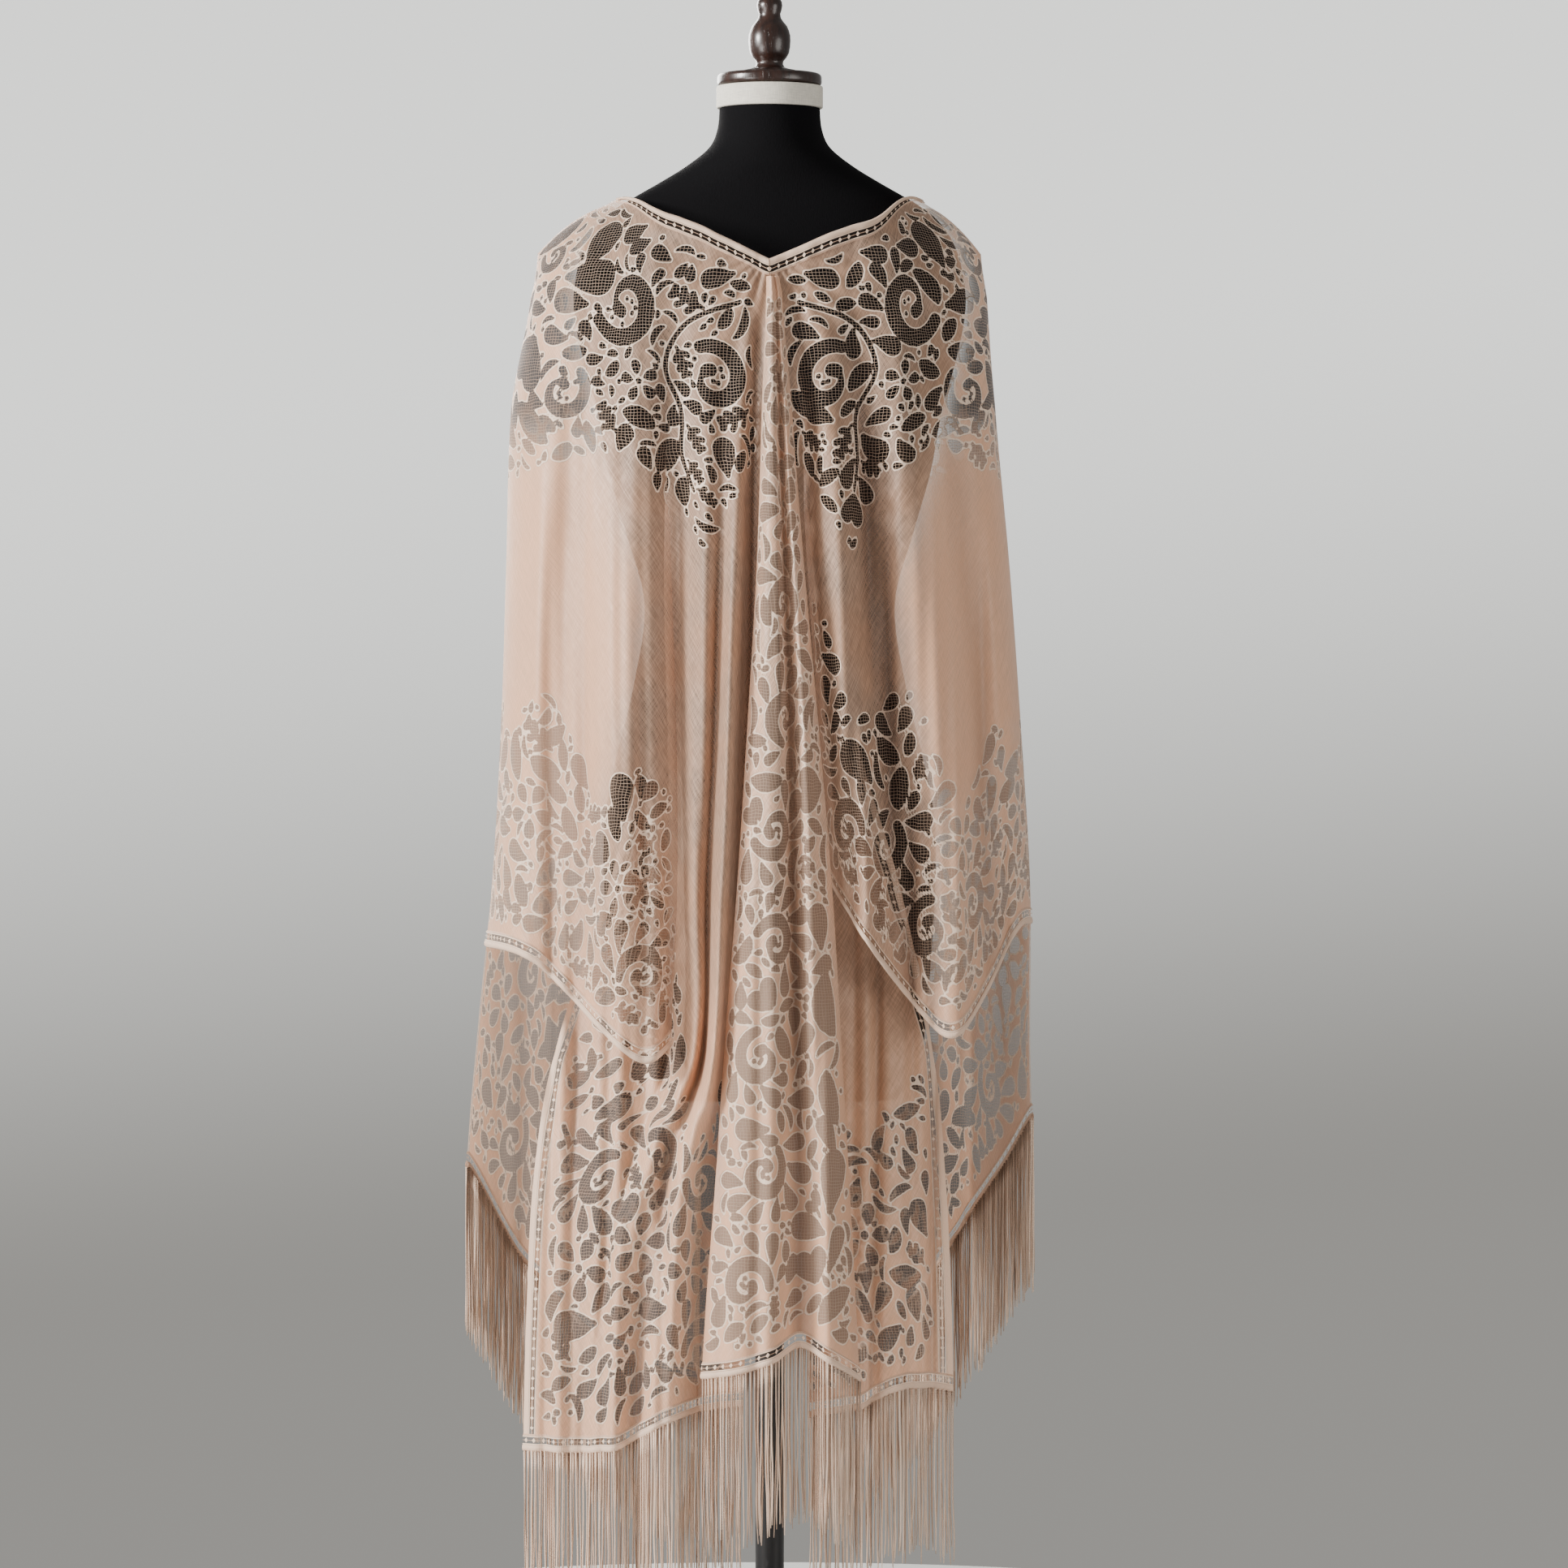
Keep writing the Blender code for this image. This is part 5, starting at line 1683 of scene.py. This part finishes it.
def build_stage(context):
    """Floor, light and camera."""
    stage = context.scene.shawl_stage
    radius, deep = stage.floor_radius / MM, -FLOOR_THICKNESS
    mesh = turned_mesh("floor", ((0.0, 0.0), (radius, 0.0), (radius, deep), (0.0, deep)))
    mesh.materials.append(floor_paint())
    mesh.shade_flat()
    floor = new_object("floor", mesh)

    aim = type(floor.location)((0, 0, stage.aim_height))
    for name, place, size, share, colour in LAMPS:
        add_lamp(name, place, aim, size, stage.window_light * share, colour)

    # Behind the shawl the room is bright above and darker below, and elsewhere it is even
    nodes = Nodes(bpy.data.worlds.new("pale room"), "Background")
    place = nodes.add("ShaderNodeTexCoord", None, None, "Generated")
    way = nodes.add("ShaderNodeSeparateXYZ", None, {0: place})
    beyond, up = (Value(nodes, way.socket.node.outputs[n]) for n in (1, 2))
    wall = nodes.rise(way * 0.1 - up, -0.07, 0.065)
    tint = nodes.mix(wall, rgba(ROOM_ABOVE), rgba(ROOM_BELOW))
    tint = nodes.mix(nodes.rise(beyond, 0.9, 0.97), rgba(ROOM_ROUND), tint)
    context.scene.world = nodes.finish({"Strength": stage.room_light}, Color=tint)

    data = bpy.data.cameras.new("camera")
    data.sensor_width = SENSOR_WIDTH
    data.lens = data.sensor_width * (stage.camera_distance - stage.aim_depth) / stage.view_width
    camera = new_object("camera", data)
    camera.location = (stage.aim_side, -stage.camera_distance, stage.aim_height)
    camera.rotation_euler = (math.pi / 2, 0, 0)
    context.scene.camera = camera


def length_property(name, description, default, low, high, precision=4):
    return FloatProperty(name=name, description=description, default=default, min=low, max=high,
                         unit="LENGTH", precision=precision)


def colour_property(name, description, default):
    return FloatVectorProperty(name=name, description=description, default=default, size=3,
                               min=0.0, max=1.0, subtype="COLOR")


class ShawlSizes(bpy.types.PropertyGroup):
    """Sizes of the finer detail."""

    back_mesh: length_property(
        "Back mesh", "Width of the mesh's squares on the back and the cascade", 0.0025, 0.0024, 0.01)
    front_mesh: length_property(
        "Front mesh", "Width of the mesh's squares on the front panels", 0.003, 0.0028, 0.01)
    net_pitch: length_property(
        "Net pitch", "Distance between the threads of the net in the lace", 0.0036, 0.002, 0.008)
    thread_radius: length_property("Thread radius", "Radius of a fringe thread", 0.00085, 0.0003, 0.003, 5)
    strand_pitch: length_property(
        "Strand pitch", "Distance between the threads of one layer of fringe", 0.0044, 0.0012, 0.01)


class ShawlColours(bpy.types.PropertyGroup):
    """Colours of the cloth and of the form."""

    blush: colour_property("Blush", "Lit yarn of the knit", (0.82, 0.53, 0.37))
    blush_dark: colour_property("Blush, dark", "Yarn between the slubs", (0.52, 0.35, 0.25))
    # Painted shade: the colour the knit is darkened to in the valleys between folds
    blush_shade_colour: colour_property("Blush, deep", "The knit deep in a fold", (0.17, 0.085, 0.055))
    blush_warm: colour_property("Blush, warm", "Warmer patches of the knit", (0.80, 0.44, 0.26))
    cord: colour_property("Cord", "Outlines of the lace and of the trims", (0.90, 0.69, 0.53))
    # Painted shade: the colours that fill the gaps of the net, and the darker one where it is painted dark in
    # the yoke and low in the middle
    net_shade: colour_property("Net shade", "Between the net's threads", (0.30, 0.19, 0.13))
    net_dark_shade: colour_property(
        "Net, deep", "Between the net's threads against the dark inside", (0.026, 0.021, 0.021))
    net_thread: colour_property("Net thread", "Net inside the lace motifs", (0.52, 0.37, 0.27))
    fringe: colour_property("Fringe", "Palest threads of the fringe", (0.92, 0.70, 0.54))
    fringe_dark: colour_property("Fringe, dark", "Darkest threads of the fringe", (0.42, 0.28, 0.20))
    jersey: colour_property("Jersey", "Cover of the form's body", (0.0035, 0.0033, 0.004))
    linen: colour_property("Linen", "Cover of the form's neck", (0.78, 0.74, 0.64))
    wood: colour_property("Wood", "Neck cap and finial", (0.022, 0.009, 0.006))
    metal: colour_property("Metal", "Paint of the stand", (0.02, 0.02, 0.021))


class ShawlStage(bpy.types.PropertyGroup):
    """Camera, light and floor."""

    camera_distance: length_property(
        "Camera distance", "From the shoulder line to the camera", 7.0, 1.0, 30.0)
    aim_depth: length_property(
        "Aim depth", "How far before the shoulder line the view's width is measured", 0.10, -1.0, 1.0)
    aim_side: length_property("Aim side", "The camera's place across", 0.014, -1.0, 1.0)
    aim_height: length_property("Aim height", "The camera's height", 0.826, 0.0, 3.0)
    view_width: length_property("View width", "Width that the camera sees at the shawl", 1.507, 0.2, 10.0)
    floor_radius: length_property("Floor radius", "Radius of the round floor", 0.62, 0.3, 5.0)
    window_light: FloatProperty(
        name="Window light", description="Power of the main lamp",
        default=310.0, min=0.0, max=2000.0, unit="POWER",
    )
    room_light: FloatProperty(
        name="Room light", description="Strength of the light from the room", default=1.0, min=0.0, max=10.0,
    )


class SHAWL_OT_back_panels(bpy.types.Operator):
    """Add the two back panels of lace knit"""

    bl_idname = "shawl.back_panels"
    bl_label = "Back panels"

    def execute(self, context):
        settings = context.scene
        finish = lace_knit("sheer lace knit", settings)
        for side in (LEFT, RIGHT):
            build_back(side, finish, settings.shawl_sizes)
        return {"FINISHED"}


class SHAWL_OT_front_panels(bpy.types.Operator):
    """Add the two front panels of lace knit"""

    bl_idname = "shawl.front_panels"
    bl_label = "Front panels"

    def execute(self, context):
        settings = context.scene
        finish = lace_knit("open lace knit", settings, glow=FRONT_GLOW)
        for side in (LEFT, RIGHT):
            build_front(side, finish, settings.shawl_sizes)
        return {"FINISHED"}


class SHAWL_OT_cascade(bpy.types.Operator):
    """Add the cascade that falls from the point of the V"""

    bl_idname = "shawl.cascade"
    bl_label = "Cascade"

    def execute(self, context):
        settings = context.scene
        finish = lace_knit("layered lace knit", settings, ground=0.86, open_net=0.62, darkens=0.0)
        build_cascade(finish, settings.shawl_sizes)
        return {"FINISHED"}


class SHAWL_OT_trims(bpy.types.Operator):
    """Add the ladder trims along the panels' edges"""

    bl_idname = "shawl.trims"
    bl_label = "Ladder trims"

    def execute(self, context):
        build_trims(trim_knit(context.scene.shawl_colours))
        return {"FINISHED"}


class SHAWL_OT_fringes(bpy.types.Operator):
    """Add the fringe below each hem"""

    bl_idname = "shawl.fringes"
    bl_label = "Fringe"

    def execute(self, context):
        build_fringes(fringe_thread(context.scene.shawl_colours), context.scene.shawl_sizes)
        return {"FINISHED"}


class SHAWL_OT_dress_form(bpy.types.Operator):
    """Add the dress form's body, neck, cap and finial"""

    bl_idname = "shawl.dress_form"
    bl_label = "Dress form"

    def execute(self, context):
        build_form(context.scene.shawl_colours)
        return {"FINISHED"}


class SHAWL_OT_stand(bpy.types.Operator):
    """Add the pole and base that the form stands on"""

    bl_idname = "shawl.stand"
    bl_label = "Stand"

    def execute(self, context):
        build_stand(context.scene.shawl_colours)
        return {"FINISHED"}


class SHAWL_OT_stage(bpy.types.Operator):
    """Add the floor, the lights and the camera"""

    bl_idname = "shawl.stage"
    bl_label = "Stage"

    def execute(self, context):
        build_stage(context)
        return {"FINISHED"}


OPERATORS = (
    SHAWL_OT_back_panels,
    SHAWL_OT_front_panels,
    SHAWL_OT_cascade,
    SHAWL_OT_trims,
    SHAWL_OT_fringes,
    SHAWL_OT_dress_form,
    SHAWL_OT_stand,
    SHAWL_OT_stage,
)


class SHAWL_PT_sidebar(bpy.types.Panel):
    """Lists the shawl's pieces and settings"""

    bl_idname = "SHAWL_PT_sidebar"
    bl_label = "Fringed lace shawl"
    bl_space_type = "VIEW_3D"
    bl_region_type = "UI"
    bl_category = "Shawl"

    def draw(self, context):
        for settings in (context.scene.shawl_sizes, context.scene.shawl_colours, context.scene.shawl_stage):
            for name in settings.bl_rna.properties.keys():
                if name not in ("rna_type", "name"):
                    self.layout.prop(settings, name)
        for operator in OPERATORS:
            self.layout.operator(operator.bl_idname)


CLASSES = (ShawlSizes, ShawlColours, ShawlStage, *OPERATORS, SHAWL_PT_sidebar)


def register():
    for made in CLASSES:
        bpy.utils.register_class(made)
    bpy.types.Scene.shawl_sizes = PointerProperty(type=ShawlSizes)
    bpy.types.Scene.shawl_colours = PointerProperty(type=ShawlColours)
    bpy.types.Scene.shawl_stage = PointerProperty(type=ShawlStage)


def unregister():
    del bpy.types.Scene.shawl_stage
    del bpy.types.Scene.shawl_colours
    del bpy.types.Scene.shawl_sizes
    for made in reversed(CLASSES):
        bpy.utils.unregister_class(made)


def main():
    register()
    for build in (
        bpy.ops.shawl.back_panels,
        bpy.ops.shawl.front_panels,
        bpy.ops.shawl.cascade,
        bpy.ops.shawl.trims,
        bpy.ops.shawl.fringes,
        bpy.ops.shawl.dress_form,
        bpy.ops.shawl.stand,
        bpy.ops.shawl.stage,
    ):
        build()
    bpy.context.view_layer.update()


if __name__ == "__main__":
    main()
